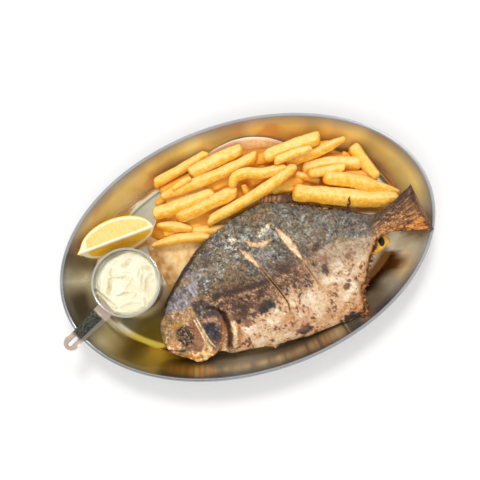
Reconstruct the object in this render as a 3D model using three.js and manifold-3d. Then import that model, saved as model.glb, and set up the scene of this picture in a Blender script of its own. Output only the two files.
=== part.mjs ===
// A whole grilled fish with fries, a flatbread, a lemon wedge and a cup of sauce on an oval steel dish.
// Millimetres, +Z up. The origin is the middle of the dish's underside, and +X runs along its length,
// from the cup at the fish's head end to its tail.
import * as THREE from 'three';
import { mergeVertices } from 'three/addons/utils/BufferGeometryUtils.js';
import Module from 'manifold-3d';

const GAP = 0.35; // clearance kept between pieces that touch
const SLIVER = 0.02; // facets that differ by less than this are one
const ABOVE_ALL = 80; // a height above everything on the dish

const DISH = {
  length: 350, breadth: 229, height: 36, sheet: 1, floorBreadth: 181, beadRadius: 1.7,
  creaseRun: 5, segments: 64,
};

const CUP = {
  at: [-114.5, 2.5], height: 39.7, rimRadius: 31.1, baseRadius: 28.6, sheet: 0.8, lipRadius: 0.9,
  baseCurve: 3, segments: 36,
};
const SAUCE = { level: 32.6, swirl: 1.1, rings: 5 };
// The strap leaves the cup below its lip and runs out over the rim of the dish.
const HANDLE = {
  root: [-25.5, -17.2], heading: 207, length: 46.5, rootWidth: 15.2, waist: 12.8, endRadius: 6.9,
  thickness: 1.2, tab: 5, tabTop: 37.2, endTop: 42.4, fold: 0.6, foldDrop: 2,
  slotLength: 10.5, slotWidth: 3.6, slotSetback: 1.4,
};

// The bread's outline bulges at its ear, and is smaller below the fish.
const BREAD = {
  at: [14, 0], radius: 98, hiddenRadius: 86, ear: 11, earAngle: 161, thickness: 2.6, edge: 1.4,
  segments: 40,
};

const LEMON = {
  at: [-112, 43.2, 28], heading: 2.7, pitch: 5, length: 69, radius: 22, tip: 3.5,
  brightSlope: 14, shadedSlope: 61,
};

// The fish lies on its side. In its own frame u runs from the eye towards the tail, and v towards the back.
const FISH = {
  at: [-78, -48], turn: 6.8, midHeight: 18, under: 13.6, segments: 26, fullness: 2.3,
  gillStep: 1.2, slashDepth: 3.2, finHeight: 17, finThickness: 2.2,
};
// Along the body: place, back edge, belly edge, upper half thickness, rise of the middle above its height.
const BODY = [
  [-25.5, -3, -14, 4.5, -2],
  [-22, 5, -20, 8, -1.5],
  [-16, 15, -25.5, 10.5, -1],
  [-9, 23, -32, 12, 0],
  [-3, 28.5, -37.5, 13, 0],
  [5, 35, -38.2, 13.8, 0],
  [12, 40, -37.3, 14.4, 0],
  [19, 45, -36, 15, 0],
  [26, 49, -42.5, 15.5, 0],
  [37, 55.5, -45.5, 16.3, 0],
  [50, 60.5, -49, 17, 0],
  [65, 64.5, -53.5, 17.2, 0],
  [80, 67, -56, 17.2, 0],
  [97, 69.2, -59.3, 17, 0],
  [113, 69, -60.8, 16.5, 0],
  [126, 63.5, -61.6, 15.8, 0],
  [138, 56, -63.2, 14.6, 0],
  [148, 50.3, -62.4, 13.4, 0],
  [154.5, 46, -60, 12.6, 0],
  [158, 43.6, -44.5, 12, 0.4],
  [166, 38.3, -38.5, 11, 1],
  [174, 32.8, -27.5, 9.8, 2],
  [182, 27.5, -18, 8.4, 3.4],
  [190, 20.5, -9.8, 7, 5.2],
  [198, 15, -7.2, 5.6, 7.6],
  [206, 14, -7.5, 4.2, 10.2],
  [213, 15.8, -10, 2.8, 12.6],
  [224, 18.9, -14.5, 1.6, 16.2],
  [233, 21.8, -18.5, 1.3, 18.9],
  [239, 24, -21.8, 1.2, 20.6],
];
const TAIL_END = BODY.at(-1)[0];
const FORK = { from: 230, depth: 4 }; // the middle of the tail's edge lies this far ahead of its tips
const DORSAL_FIN = [[104, 60], [108, 69], [116.5, 76.5], [124, 72.7], [132, 68.6], [140, 64.6],
  [143, 66.5], [141.5, 60], [134, 52], [120, 50]];
const PELVIC_FIN = [[58, -44], [60, -52], [65.7, -57.6], [70, -54], [72, -46]];
const GILL_COVER = [[17, -45], [23, -33], [29.5, -25], [33.5, -16], [34.6, -8], [32, 2], [24, 12], [12, 14],
  [3, 6], [-1, -10], [0, -28], [4, -45]];
const SLASHES = [
  { from: [112, 40], to: [120, 7], width: 5 },
  { from: [119, 11], to: [124, -22], width: 2 },
  { from: [74, 37], to: [82, 17], width: 3.6 },
  { from: [81, 21], to: [90, -34], width: 1.8 },
];
const EYE = { at: [-2.5, -12.5], radius: 4.2, depth: 1.6 };
const MOUTH = { from: [-27, -16], to: [-12, -19], width: 1.6 };

// Fries of the heap, each from one end's middle to the other's; narrow is the far end's share of the width.
const FRIES = [
  { from: [-65, 88, 18], to: [-11, 96, 20], width: 10.5 },
  { from: [-29, 81, 24], to: [23, 88, 24], width: 13 },
  { from: [-60, 71, 20], to: [33, 77, 22], width: 13, narrow: 0.8 },
  { from: [-50, 78, 12], to: [-20, 84, 13], width: 11 },
  { from: [-60, 65, 11], to: [-24, 67, 11], width: 10.5 },
  { from: [-71, 59, 17], to: [-13, 59, 20], width: 13 },
  { from: [-51, 45, 18], to: [7, 52, 22], width: 13.5 },
  { from: [-29, 35, 15], to: [65, 56, 29], width: 12 },
  { from: [3, 57, 28], to: [18, 64, 29], width: 11 },
  { from: [14, 64, 29], to: [57, 58, 27], width: 11, narrow: 0.7 },
  { from: [13, 56, 17], to: [20, 48, 14], width: 8.5 },
  { from: [40, 72, 27], to: [93, 74, 31], width: 13 },
  { from: [48, 66, 26], to: [84, 67, 28], width: 9.5 },
  { from: [55, 64, 20], to: [117, 66, 26], width: 12, narrow: 0.4 },
  { from: [72, 55, 14], to: [124, 40, 18], width: 12.5 },
  { from: [74, 48, 22], to: [109, 42, 24], width: 9.5 },
  { from: [122, 57, 19], to: [136, 23, 15], width: 12.5 },
  { from: [65, 52, 16], to: [89, 35, 12], width: 12 },
  { from: [88, 38, 26], to: [149, 3, 16], width: 14, narrow: 0.5 },
  { from: [55, 33, 24], to: [141, -3, 18], width: 15.5, narrow: 0.8 },
  { from: [53, 26, 11], to: [102, 4, 11], width: 10 },
  { from: [-74, 47, 13], to: [-44, 33, 12], width: 10, narrow: 0.5 },
  { from: [-85, 33, 9], to: [-24, 27, 10], width: 12 },
  { from: [-45, 31, 9], to: [-16, 29, 10], width: 12 },
];
const LOOSE_FRY = { from: [106, -41, 8], to: [127, -34, 12], width: 10.5 };
// The unseen fries below: a low mound along the heap, each place with its half width and top.
const MOUND = [
  { at: [-84, 40], half: 6, top: 8 },
  { at: [-58, 56], half: 31, top: 16 },
  { at: [-15, 62], half: 33, top: 19 },
  { at: [35, 58], half: 28, top: 21 },
  { at: [82, 46], half: 26, top: 17 },
  { at: [118, 30], half: 20, top: 14 },
  { at: [140, 6], half: 8, top: 11 },
];

const FINISH = {
  dish: { color: 0xb8b4ac, roughness: 0.18, metalness: 1 },
  sauce_cup: { color: 0xc6c4be, roughness: 0.22, metalness: 1 },
  cup_handle: { color: 0xb6aea6, roughness: 0.35, metalness: 1 },
  sauce: { color: 0xf6f0d8, roughness: 0.45, metalness: 0 },
  flatbread: { color: 0xe6b684, roughness: 0.8, metalness: 0 },
  lemon_wedge: { color: 0xf8dc6a, roughness: 0.4, metalness: 0 },
  fish: { color: 0x8e7a66, roughness: 0.55, metalness: 0 },
  fries: { color: 0xf6c244, roughness: 0.5, metalness: 0 },
  loose_fry: { color: 0xf0b43c, roughness: 0.5, metalness: 0 },
};

const wasm = await Module();
wasm.setup();
const radians = THREE.MathUtils.degToRad;
const lerp = THREE.MathUtils.lerp;
const smoothstep = THREE.MathUtils.smoothstep;

// A closed geometry as a solid that can be cut and joined.
function solid(geometry) {
  geometry.deleteAttribute('normal');
  geometry.deleteAttribute('uv');
  const merged = mergeVertices(geometry, 1e-4);
  return new wasm.Manifold(new wasm.Mesh({
    numProp: 3,
    vertProperties: merged.attributes.position.array,
    triVerts: new Uint32Array(merged.index.array),
  }));
}

// Its facets within a hair of flat are joined, so that a cut leaves no slivers.
function geometryOf(made) {
  const mesh = made.asOriginal().simplify(SLIVER).getMesh();
  const geometry = new THREE.BufferGeometry();
  geometry.setAttribute('position', new THREE.BufferAttribute(mesh.vertProperties, 3));
  geometry.setIndex(new THREE.BufferAttribute(mesh.triVerts, 1));
  geometry.computeVertexNormals();
  return geometry;
}

function named(name, made) {
  const mesh = new THREE.Mesh(geometryOf(made), new THREE.MeshStandardMaterial(FINISH[name]));
  mesh.name = name;
  return mesh;
}

// The largest body of a solid that cutting may have left with splinters.
function mainBody(made) {
  return made.decompose().reduce((best, body) => (body.volume() > best.volume() ? body : best));
}

// A skin through rings of points, all with the same count, closed at both ends by a fan to the middle.
function loft(rings) {
  const count = rings[0].length;
  const points = rings.flat();
  const faces = [];
  for (let i = 0; i < rings.length - 1; i++) {
    for (let j = 0; j < count; j++) {
      const a = i * count + j;
      const b = i * count + (j + 1) % count;
      faces.push(a, b, b + count, a, b + count, a + count);
    }
  }
  const middle = (ring) => ring.reduce((sum, p) => sum.add(p), new THREE.Vector3()).divideScalar(count);
  const last = (rings.length - 1) * count;
  points.push(middle(rings[0]), middle(rings.at(-1)));
  for (let j = 0; j < count; j++) {
    const next = (j + 1) % count;
    faces.push(points.length - 2, next, j);
    faces.push(points.length - 1, last + j, last + next);
  }
  return new THREE.BufferGeometry().setFromPoints(points).setIndex(faces);
}

// An upright prism over a plan outline.
function prism(outline, bottom, top) {
  const shape = new THREE.Shape(outline.map(([x, y]) => new THREE.Vector2(x, y)));
  const geometry = new THREE.ExtrudeGeometry(shape, { depth: top - bottom, bevelEnabled: false });
  return solid(geometry.translate(0, 0, bottom));
}

// The dish's inner skin: half breadth and height from the floor's middle to below the bead, inset by a gap.
function dishSkin(path, inset) {
  const floorEdge = DISH.floorBreadth / 2 - inset;
  const wallTop = DISH.breadth / 2 - DISH.beadRadius - inset;
  const wallHeight = DISH.height - DISH.beadRadius;
  const slope = (wallHeight - DISH.sheet) / (wallTop - floorEdge);
  const lift = inset * 0.6 + DISH.sheet;
  path.lineTo(floorEdge - DISH.creaseRun, lift);
  path.quadraticCurveTo(floorEdge, lift, floorEdge + DISH.creaseRun / 2, lift + slope * DISH.creaseRun / 2);
  return { wallTop, wallHeight, slope };
}

// Turns a round lathe about +Z and draws it out into the dish's oval, whose walls lean alike all round.
function ovalLathe(points) {
  const geometry = new THREE.LatheGeometry(points, DISH.segments).rotateX(Math.PI / 2);
  const stretch = (DISH.length - DISH.breadth) / 2;
  const position = geometry.attributes.position;
  for (let i = 0; i < position.count; i++) {
    const radius = Math.hypot(position.getX(i), position.getY(i));
    const share = Math.min(1, radius / (DISH.floorBreadth / 2));
    const along = radius > 0 ? position.getX(i) / radius : 0;
    position.setX(i, position.getX(i) + along * stretch * share);
  }
  return solid(geometry);
}

function dish() {
  const bead = DISH.beadRadius;
  const rim = DISH.breadth / 2 - bead;
  const profile = new THREE.Path();
  profile.moveTo(0, DISH.sheet);
  const { wallHeight, slope } = dishSkin(profile, 0);
  const lean = Math.atan(slope);
  profile.absarc(rim, wallHeight, bead, lean + Math.PI * 0.75, lean - Math.PI * 0.75, true);
  const floorEdge = DISH.floorBreadth / 2 + DISH.sheet * 0.6;
  profile.lineTo(floorEdge + DISH.creaseRun / 2, slope * DISH.creaseRun / 2);
  profile.quadraticCurveTo(floorEdge, 0, floorEdge - DISH.creaseRun, 0);
  profile.lineTo(0, 0);
  return ovalLathe(profile.getPoints(4).reverse());
}

// The room inside the dish, up to a height above everything on it.
function dishRoom(inset) {
  const room = new THREE.Path();
  room.moveTo(0, DISH.sheet + inset);
  const { wallTop, wallHeight } = dishSkin(room, inset);
  room.lineTo(wallTop - DISH.beadRadius, wallHeight);
  room.lineTo(wallTop - DISH.beadRadius, DISH.height + inset);
  room.lineTo(wallTop + 20, DISH.height + inset);
  room.lineTo(wallTop + 20, ABOVE_ALL);
  room.lineTo(0, ABOVE_ALL);
  return ovalLathe(room.getPoints(4));
}

// Height of the dish's inner surface below a point of the plan.
function dishHeight(x, y) {
  const stretch = (DISH.length - DISH.breadth) / 2;
  let radius = 0;
  for (let step = 40; step > 0.01; step /= 2) {
    const reach = (r) => Math.hypot(x / (r + stretch * Math.min(1, r / (DISH.floorBreadth / 2))), y / r);
    while (reach(radius + step) > 1) radius += step;
  }
  const edge = DISH.floorBreadth / 2 - DISH.creaseRun / 2;
  const run = DISH.breadth / 2 - DISH.beadRadius - edge;
  return DISH.sheet + Math.max(0, radius - edge) * (DISH.height - DISH.beadRadius - DISH.sheet) / run;
}

function cup() {
  const wall = CUP.rimRadius - CUP.lipRadius;
  const profile = new THREE.Path();
  profile.moveTo(0, CUP.sheet);
  profile.lineTo(CUP.baseRadius - CUP.baseCurve, CUP.sheet);
  profile.quadraticCurveTo(CUP.baseRadius - CUP.sheet, CUP.sheet, CUP.baseRadius - CUP.sheet, CUP.baseCurve);
  profile.absarc(wall, CUP.height - CUP.lipRadius, CUP.lipRadius, Math.PI * 1.15, -Math.PI * 0.35, true);
  profile.lineTo(CUP.baseRadius, CUP.baseCurve);
  profile.quadraticCurveTo(CUP.baseRadius, 0, CUP.baseRadius - CUP.baseCurve, 0);
  profile.lineTo(0, 0);
  return solid(new THREE.LatheGeometry(profile.getPoints(3).reverse(), CUP.segments).rotateX(Math.PI / 2));
}

// The cup's outside with a clearance, for cutting what leans on it, in the cup's own frame.
function cupEnvelope() {
  const { baseRadius, rimRadius, height } = CUP;
  const points = [[0, -5], [baseRadius + GAP, -5], [baseRadius + GAP, 0], [rimRadius, height - 4],
    [rimRadius + GAP, height + GAP], [0, height + GAP]];
  const profile = points.map(([r, z]) => new THREE.Vector2(r, z));
  return solid(new THREE.LatheGeometry(profile, CUP.segments).rotateX(Math.PI / 2));
}

// Sauce fills the cup to its level, spooned in so that its top lies in soft folds.
function sauce() {
  const bottom = CUP.sheet + GAP;
  const wall = CUP.rimRadius - CUP.lipRadius;
  const reach = (z) => lerp(CUP.baseRadius, wall, z / CUP.height) - CUP.sheet - GAP;
  const points = [
    new THREE.Vector2(0, bottom),
    new THREE.Vector2(CUP.baseRadius - CUP.baseCurve - 1, bottom),
    new THREE.Vector2(reach(bottom + 3), bottom + 3),
    new THREE.Vector2(reach(SAUCE.level), SAUCE.level),
  ];
  for (let ring = 1; ring <= SAUCE.rings; ring++) {
    points.push(new THREE.Vector2(reach(SAUCE.level) * (1 - ring / SAUCE.rings), SAUCE.level));
  }
  const geometry = new THREE.LatheGeometry(points, CUP.segments).rotateX(Math.PI / 2);
  const position = geometry.attributes.position;
  for (let i = 0; i < position.count; i++) {
    const [x, y, z] = [position.getX(i), position.getY(i), position.getZ(i)];
    const inside = 1 - smoothstep(Math.hypot(x, y), 18, reach(SAUCE.level));
    const fold = Math.sin(x * 0.22 + y * 0.1) * Math.cos(y * 0.19 - x * 0.07);
    if (z > SAUCE.level - 0.1) position.setZ(i, z + SAUCE.swirl * inside * (1 + fold));
  }
  return solid(geometry);
}

// A pressed strap with a lengthwise fold, a flat tab at the cup and a round slotted end.
function cupHandle() {
  const { length, rootWidth, waist, endRadius, thickness, tab, tabTop, endTop, fold, foldDrop } = HANDLE;
  const endMiddle = length - endRadius;
  const roundEnd = (x) => Math.sqrt(Math.max(0, endRadius ** 2 - (x - endMiddle) ** 2));
  const halfWidth = (x) => {
    const neck = lerp(rootWidth, waist, smoothstep(x, tab, endMiddle * 0.6)) / 2;
    return x > endMiddle ? Math.max(0.2, roundEnd(x)) : Math.max(neck, roundEnd(x));
  };
  const stations = [-4, tab, tab + 1.5, 14, 21, 28, 34];
  for (let turn = 0; turn < 7; turn++) stations.push(endMiddle + endRadius * Math.sin(radians(turn * 14.6)));
  const rings = stations.map((x) => {
    const half = halfWidth(x);
    const top = lerp(tabTop, endTop, Math.max(0, x - tab) / (length - tab));
    const folded = foldDrop * smoothstep(x, tab, tab + 1.5) * (1 - smoothstep(x, endMiddle - 8, endMiddle));
    const section = [[-half, 0.3 * folded], [-half / 2, 0], [half * fold, 0], [half, folded]];
    const upper = section.map(([y, drop]) => new THREE.Vector3(x, y, top - drop));
    const lower = section.map(([y, drop]) => new THREE.Vector3(x, y, top - drop - thickness));
    return [...lower, ...upper.reverse()];
  });
  const slot = new THREE.Shape();
  const reach = (HANDLE.slotLength - HANDLE.slotWidth) / 2;
  const slotMiddle = endMiddle - HANDLE.slotSetback;
  slot.absarc(slotMiddle + reach, 0, HANDLE.slotWidth / 2, -Math.PI / 2, Math.PI / 2);
  slot.absarc(slotMiddle - reach, 0, HANDLE.slotWidth / 2, Math.PI / 2, Math.PI * 1.5);
  const hole = prism(slot.getPoints(4).slice(0, -1).map((p) => [p.x, p.y]), 0, ABOVE_ALL);
  const strap = solid(loft(rings)).subtract(hole);
  return placed(strap, HANDLE.root, HANDLE.heading).subtract(cupEnvelope());
}

// A thin round bread, limp enough to follow the floor and climb the far wall. As a block, for cutting
// what lies on it, it reaches below the dish.
function flatbread(grow = 0, block = false) {
  const [cx, cy] = BREAD.at;
  const shares = [0.3, 0.6, 0.78, 0.86, 0.93, 0.985, 1];
  const edgeRadius = (angle) => {
    const hidden = smoothstep(-Math.sin(angle - 0.2), -0.1, 0.7);
    const ear = BREAD.ear * Math.exp(-(((angle - radians(BREAD.earAngle)) / 0.22) ** 2));
    return lerp(BREAD.radius, BREAD.hiddenRadius, hidden) + ear + 0.8 * Math.sin(angle * 5 + 1) + grow;
  };
  const surface = (share, angle, top) => {
    const radius = edgeRadius(angle) * share;
    const [x, y] = [cx + radius * Math.cos(angle), cy + radius * Math.sin(angle)];
    const length = Math.hypot(x, y);
    const outward = 1 + (GAP + 0.15) / Math.max(length, 1);
    const rest = dishHeight(x * outward, y * outward) + GAP;
    const tapered = lerp(BREAD.thickness, BREAD.edge, smoothstep(share, 0.86, 1));
    const thick = share > 0.99 ? BREAD.edge * 0.5 : tapered;
    const puff = 0.5 * Math.sin(x * 0.09) * Math.cos(y * 0.11);
    const bottom = block ? -4 : rest + (share > 0.99 ? BREAD.edge * 0.3 : 0);
    return new THREE.Vector3(x, y, top ? rest + thick + puff * (1 - share) + grow : bottom);
  };
  const ring = (share, top) => Array.from({ length: BREAD.segments }, (_, i) =>
    surface(share, i / BREAD.segments * Math.PI * 2, top));
  const under = shares.map((share) => ring(share, false));
  const over = shares.toReversed().map((share) => ring(share, true));
  return solid(loft([...under, ...over]));
}

// A thick wedge cut from a lemon: the ridge is the lemon's core, and the rind is below.
function lemonWedge(grow = 0) {
  const half = LEMON.length / 2;
  const profile = [new THREE.Vector2(0, -half - LEMON.tip), new THREE.Vector2(1.6, -half - LEMON.tip + 1)];
  profile.push(new THREE.Vector2(3.6, -half + 0.6));
  for (let step = 1; step <= 12; step++) {
    const place = -Math.cos(step / 12 * Math.PI * 0.96 + 0.12);
    profile.push(new THREE.Vector2(LEMON.radius * Math.sqrt(1 - place ** 2) + grow, place * half));
  }
  profile.push(new THREE.Vector2(0, half + 0.4));
  const fruit = solid(new THREE.LatheGeometry(profile, 40).rotateZ(-Math.PI / 2));
  const reach = LEMON.radius * 3;
  const bright = radians(180 + LEMON.brightSlope);
  const shaded = radians(360 - LEMON.shadedSlope);
  const corner = (angle) => new THREE.Vector2(-reach * Math.cos(angle), reach * Math.sin(angle));
  const shape = new THREE.Shape([new THREE.Vector2(0, grow), corner(bright), corner((bright + shaded) / 2),
    corner(shaded)]);
  const cutter = new THREE.ExtrudeGeometry(shape, { depth: LEMON.length * 2, bevelEnabled: false });
  cutter.translate(0, 0, -LEMON.length).rotateX(Math.PI / 2).rotateZ(Math.PI / 2);
  return fruit.intersect(solid(cutter));
}

// A point of the fish's own plan as it lies in the dish.
function fishPlan(u, v) {
  const turned = new THREE.Vector2(u, v).rotateAround(new THREE.Vector2(), radians(FISH.turn));
  return turned.add(new THREE.Vector2(...FISH.at));
}

// A section across the fish. Where it meets the dish's wall, it lies up against it.
function fishRing([u, back, belly, upper, rise], grow) {
  const middle = (back + belly) / 2;
  const half = (back - belly) / 2 + grow;
  const under = Math.min(FISH.under, upper) + grow;
  const power = 2 / FISH.fullness;
  const rounded = (value) => Math.sign(value) * Math.abs(value) ** power;
  return Array.from({ length: FISH.segments }, (_, i) => {
    const angle = i / FISH.segments * Math.PI * 2;
    const across = rounded(Math.cos(angle));
    const lift = rounded(Math.sin(angle));
    const notch = Math.max(0, 1 - Math.abs(across) * 1.1);
    const fork = FORK.depth * notch * Math.max(0, u - FORK.from) / (TAIL_END - FORK.from);
    const v = middle + half * across;
    const plan = fishPlan(u, v);
    const rest = dishHeight(plan.x, plan.y) + 2 * GAP - grow + Math.max(0, lift) * 4;
    const level = FISH.midHeight + rise + lift * (lift > 0 ? upper + grow : under);
    return new THREE.Vector3(u - fork, v, Math.max(level, rest));
  });
}

// The whole body as one skin, grown or shrunk all round by an amount.
function fishBody(grow = 0) {
  const rings = [];
  BODY.forEach((station, i) => {
    rings.push(fishRing(station, grow));
    const next = BODY[i + 1];
    if (next && next[0] - station[0] > 9) {
      const [before, after] = [BODY[i - 1], BODY[i + 2]];
      const between = station.map((value, k) => (9 * (value + next[k]) - before[k] - after[k]) / 16);
      rings.push(fishRing(between, grow));
    }
  });
  rings[0].forEach((p) => p.setX(p.x - grow));
  rings.at(-1).forEach((p) => p.setX(p.x + grow));
  return solid(loft(rings));
}

function stripOutline({ from, to, width }) {
  const [a, b] = [new THREE.Vector2(...from), new THREE.Vector2(...to)];
  const side = b.clone().sub(a).normalize().rotateAround(new THREE.Vector2(), Math.PI / 2);
  const at = (share, offset) => a.clone().lerp(b, share).addScaledVector(side, offset * width / 2).toArray();
  return [at(0, 0), at(0.2, -0.8), at(0.6, -1), at(1, -0.2), at(1, 0.2), at(0.6, 1), at(0.2, 0.8)];
}

function fish(grow = 0) {
  let made = fishBody(grow);
  const half = FISH.finThickness / 2 + grow;
  for (const outline of [DORSAL_FIN, PELVIC_FIN]) {
    made = made.add(prism(outline, FISH.finHeight - half, FISH.finHeight + half));
  }
  if (grow > 0) return made;
  made = made.add(fishBody(FISH.gillStep).intersect(prism(GILL_COVER, FISH.midHeight, ABOVE_ALL)));
  const grooves = fishBody(-FISH.slashDepth);
  for (const cut of [...SLASHES, MOUTH]) {
    made = made.subtract(prism(stripOutline(cut), FISH.midHeight, ABOVE_ALL).subtract(grooves));
  }
  const socket = new THREE.CylinderGeometry(EYE.radius, EYE.radius, ABOVE_ALL, 14).rotateX(Math.PI / 2);
  const eye = solid(socket.translate(...EYE.at, FISH.midHeight + ABOVE_ALL / 2));
  return made.subtract(eye.subtract(fishBody(-EYE.depth)));
}

// A cut potato stick: a square section with eased corners, slightly smaller at its ends.
function fry({ from, to, width, narrow = 1 }) {
  const [a, b] = [new THREE.Vector3(...from), new THREE.Vector3(...to)];
  const along = b.clone().sub(a).normalize();
  const side = new THREE.Vector3(0, 0, 1).cross(along).normalize();
  const up = along.clone().cross(side);
  const half = width / 2;
  const ease = 0.62;
  const quarter = [[1, ease], [ease, 1]];
  const mirrored = quarter.map(([y, z]) => [-y, z]).reverse();
  const corners = [...quarter, ...mirrored, ...[...quarter, ...mirrored].map(([y, z]) => [-y, -z])];
  const sizes = [[0, 0.84], [0.05, 1], [0.95, narrow], [1, narrow * 0.84]];
  const rings = sizes.map(([share, size]) => corners.map(([y, z]) => a.clone().lerp(b, share)
    .addScaledVector(side, y * half * size)
    .addScaledVector(up, z * half * size)));
  return solid(loft(rings));
}

function mound() {
  const rings = MOUND.map(({ at: [x, y], half, top }) => Array.from({ length: 10 }, (_, i) => {
    const angle = i / 10 * Math.PI * 2;
    return new THREE.Vector3(x + half * 0.35 * Math.cos(angle), y + half * Math.cos(angle),
      top * (0.5 + 0.5 * Math.sin(angle)));
  }));
  return solid(loft(rings));
}

// Puts a solid where a mesh with this place and turn about Z lies.
function placed(made, [x, y, z = 0], turn) {
  return made.rotate([0, 0, turn]).translate([x, y, z]);
}

const cupInDish = () => cupEnvelope().translate([...CUP.at, DISH.sheet + GAP]);

function heap() {
  let made = mound();
  for (const stick of FRIES) made = made.add(fry(stick));
  const [x, y, z] = LEMON.at;
  made = made.intersect(dishRoom(GAP));
  made = made.subtract(flatbread(GAP, true));
  made = made.subtract(placed(fish(GAP), FISH.at, FISH.turn));
  made = made.subtract(lemonWedge(GAP).rotate([0, LEMON.pitch, LEMON.heading]).translate([x, y, z]));
  return mainBody(made.subtract(cupInDish()));
}

const plate = new THREE.Group();
plate.add(named('dish', dish()));
plate.add(named('flatbread', mainBody(flatbread().subtract(cupInDish()))));
plate.add(named('fries', heap()));
plate.add(named('loose_fry', mainBody(fry(LOOSE_FRY)
  .subtract(placed(fish(GAP), FISH.at, FISH.turn)).subtract(flatbread(GAP, true)))));

const fishMesh = named('fish', fish());
fishMesh.position.set(...FISH.at, 0);
fishMesh.rotation.z = radians(FISH.turn);
plate.add(fishMesh);

const lemon = named('lemon_wedge', lemonWedge());
lemon.position.set(...LEMON.at);
lemon.rotation.set(0, radians(LEMON.pitch), radians(LEMON.heading), 'ZYX');
plate.add(lemon);

const cupGroup = new THREE.Group();
cupGroup.position.set(...CUP.at, DISH.sheet + GAP);
cupGroup.add(named('sauce_cup', cup()), named('sauce', sauce()));
cupGroup.add(named('cup_handle', cupHandle()));
plate.add(cupGroup);

export default plate;
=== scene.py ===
"""A whole grilled fish with fries, flatbread, lemon and a cup of sauce on an oval steel dish.

Shapes are worked out in millimetres, in the row frame, and put down in metres.
"""
import math

import bmesh
import bpy
import numpy as np
from mathutils import Matrix, Vector


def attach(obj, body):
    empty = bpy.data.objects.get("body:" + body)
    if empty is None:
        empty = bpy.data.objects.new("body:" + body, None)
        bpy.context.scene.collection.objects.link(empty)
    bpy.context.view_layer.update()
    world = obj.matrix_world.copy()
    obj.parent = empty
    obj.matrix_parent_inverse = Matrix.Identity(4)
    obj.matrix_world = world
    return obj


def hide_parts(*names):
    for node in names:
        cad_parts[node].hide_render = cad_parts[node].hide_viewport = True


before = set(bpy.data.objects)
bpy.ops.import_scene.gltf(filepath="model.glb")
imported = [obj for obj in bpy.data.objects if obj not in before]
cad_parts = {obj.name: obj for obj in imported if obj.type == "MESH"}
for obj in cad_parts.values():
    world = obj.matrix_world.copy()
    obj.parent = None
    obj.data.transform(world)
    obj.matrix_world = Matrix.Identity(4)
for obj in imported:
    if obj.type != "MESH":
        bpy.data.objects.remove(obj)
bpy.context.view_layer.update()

MM = 0.001

# Where things are, as in the part's own source.
DISH_SHEET = 1.0
FLOOR_EDGE = 90.5  # half breadth of the dish's floor
STRETCH = 60.5  # how much longer than broad the dish is, each way
RIM = 112.8  # half breadth of the dish to the middle of its rolled edge
RIM_HEIGHT = 34.3
BEAD = 1.66
DISH_SLOPE = (RIM_HEIGHT - DISH_SHEET) / (RIM - FLOOR_EDGE)
FOOD_EDGE = 88.0  # where food starts to rise, clear of the curve between floor and wall
CUP_AT = (-114.5, 2.5, 1.35)
SAUCE_TOP = 32.6
LEMON_AT = (-112.0, 43.2, 28.0)
FISH_AT = (-78.0, -48.0)
FISH_TURN = math.radians(6.8)
BREAD_AT = (14.0, 0.0)


# ---------------------------------------------------------------- small tools

def smooth(value, low, high):
    """0 below low, 1 above high, and an easy slope between; low may be the larger."""
    t = np.clip((np.asarray(value, float) - low) / (high - low), 0, 1)
    return t * t * (3 - 2 * t)


def clouds(x, y, size, seed, octaves=3):
    """Soft random lumps from about -1 to 1, the largest as wide as size."""
    total, strength, reach = 0.0, 1.0, 0.0
    columns, rows = 97, 89
    x, y = np.asarray(x, float), np.asarray(y, float)
    for octave in range(octaves):
        lattice = np.random.default_rng(seed * 31 + octave).uniform(-1, 1, (columns, rows))
        gx, gy = x / size + 300.3, y / size + 500.7
        ix, iy = np.floor(gx).astype(int), np.floor(gy).astype(int)
        fx, fy = smooth(gx - ix, 0, 1), smooth(gy - iy, 0, 1)
        corner = [[lattice[(ix + i) % columns, (iy + j) % rows] for j in (0, 1)] for i in (0, 1)]
        low = corner[0][0] * (1 - fy) + corner[0][1] * fy
        high = corner[1][0] * (1 - fy) + corner[1][1] * fy
        total = total + strength * (low * (1 - fx) + high * fx)
        reach += strength
        size, strength = size * 0.5, strength * 0.55
    return total / reach * 1.5


def through(x, places, values):
    """A smooth line through values at places."""
    places, values = np.asarray(places, float), np.asarray(values, float)
    slopes = np.gradient(values, places)
    x = np.clip(x, places[0], places[-1])
    i = np.clip(np.searchsorted(places, x, side="right") - 1, 0, len(places) - 2)
    h = places[i + 1] - places[i]
    t = (x - places[i]) / h
    return ((2 * t ** 3 - 3 * t ** 2 + 1) * values[i] + (t ** 3 - 2 * t ** 2 + t) * h * slopes[i]
            + (3 * t ** 2 - 2 * t ** 3) * values[i + 1] + (t ** 3 - t ** 2) * h * slopes[i + 1])


def from_line(x, y, line):
    """Distance of each point from a broken line, and how far along it that is, 0 to 1."""
    best, along = np.full(np.shape(x), 1e9), np.zeros(np.shape(x))
    line = np.asarray(line, float)
    lengths = np.hypot(*np.diff(line, axis=0).T)
    walked = np.concatenate([[0], np.cumsum(lengths)]) / lengths.sum()
    for i in range(len(line) - 1):
        (ax, ay), (bx, by) = line[i], line[i + 1]
        dx, dy = bx - ax, by - ay
        t = np.clip(((x - ax) * dx + (y - ay) * dy) / (dx * dx + dy * dy), 0, 1)
        d = np.hypot(x - ax - t * dx, y - ay - t * dy)
        nearer = d < best
        best = np.where(nearer, d, best)
        along = np.where(nearer, walked[i] + t * (walked[i + 1] - walked[i]), along)
    return best, along


def away_from(x, y, line):
    """Distance of each point from a broken line."""
    return from_line(x, y, line)[0]


def at_share(share, corners):
    """Where a line through evenly shared corners is at shares from 0 to 1, one list for each direction."""
    places = np.linspace(0, 1, len(corners))
    return [np.interp(share, places, values) for values in zip(*corners)]


def unit(vectors):
    """The same directions with a length of 1."""
    return vectors / np.linalg.norm(vectors, axis=1)[:, None]


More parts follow.
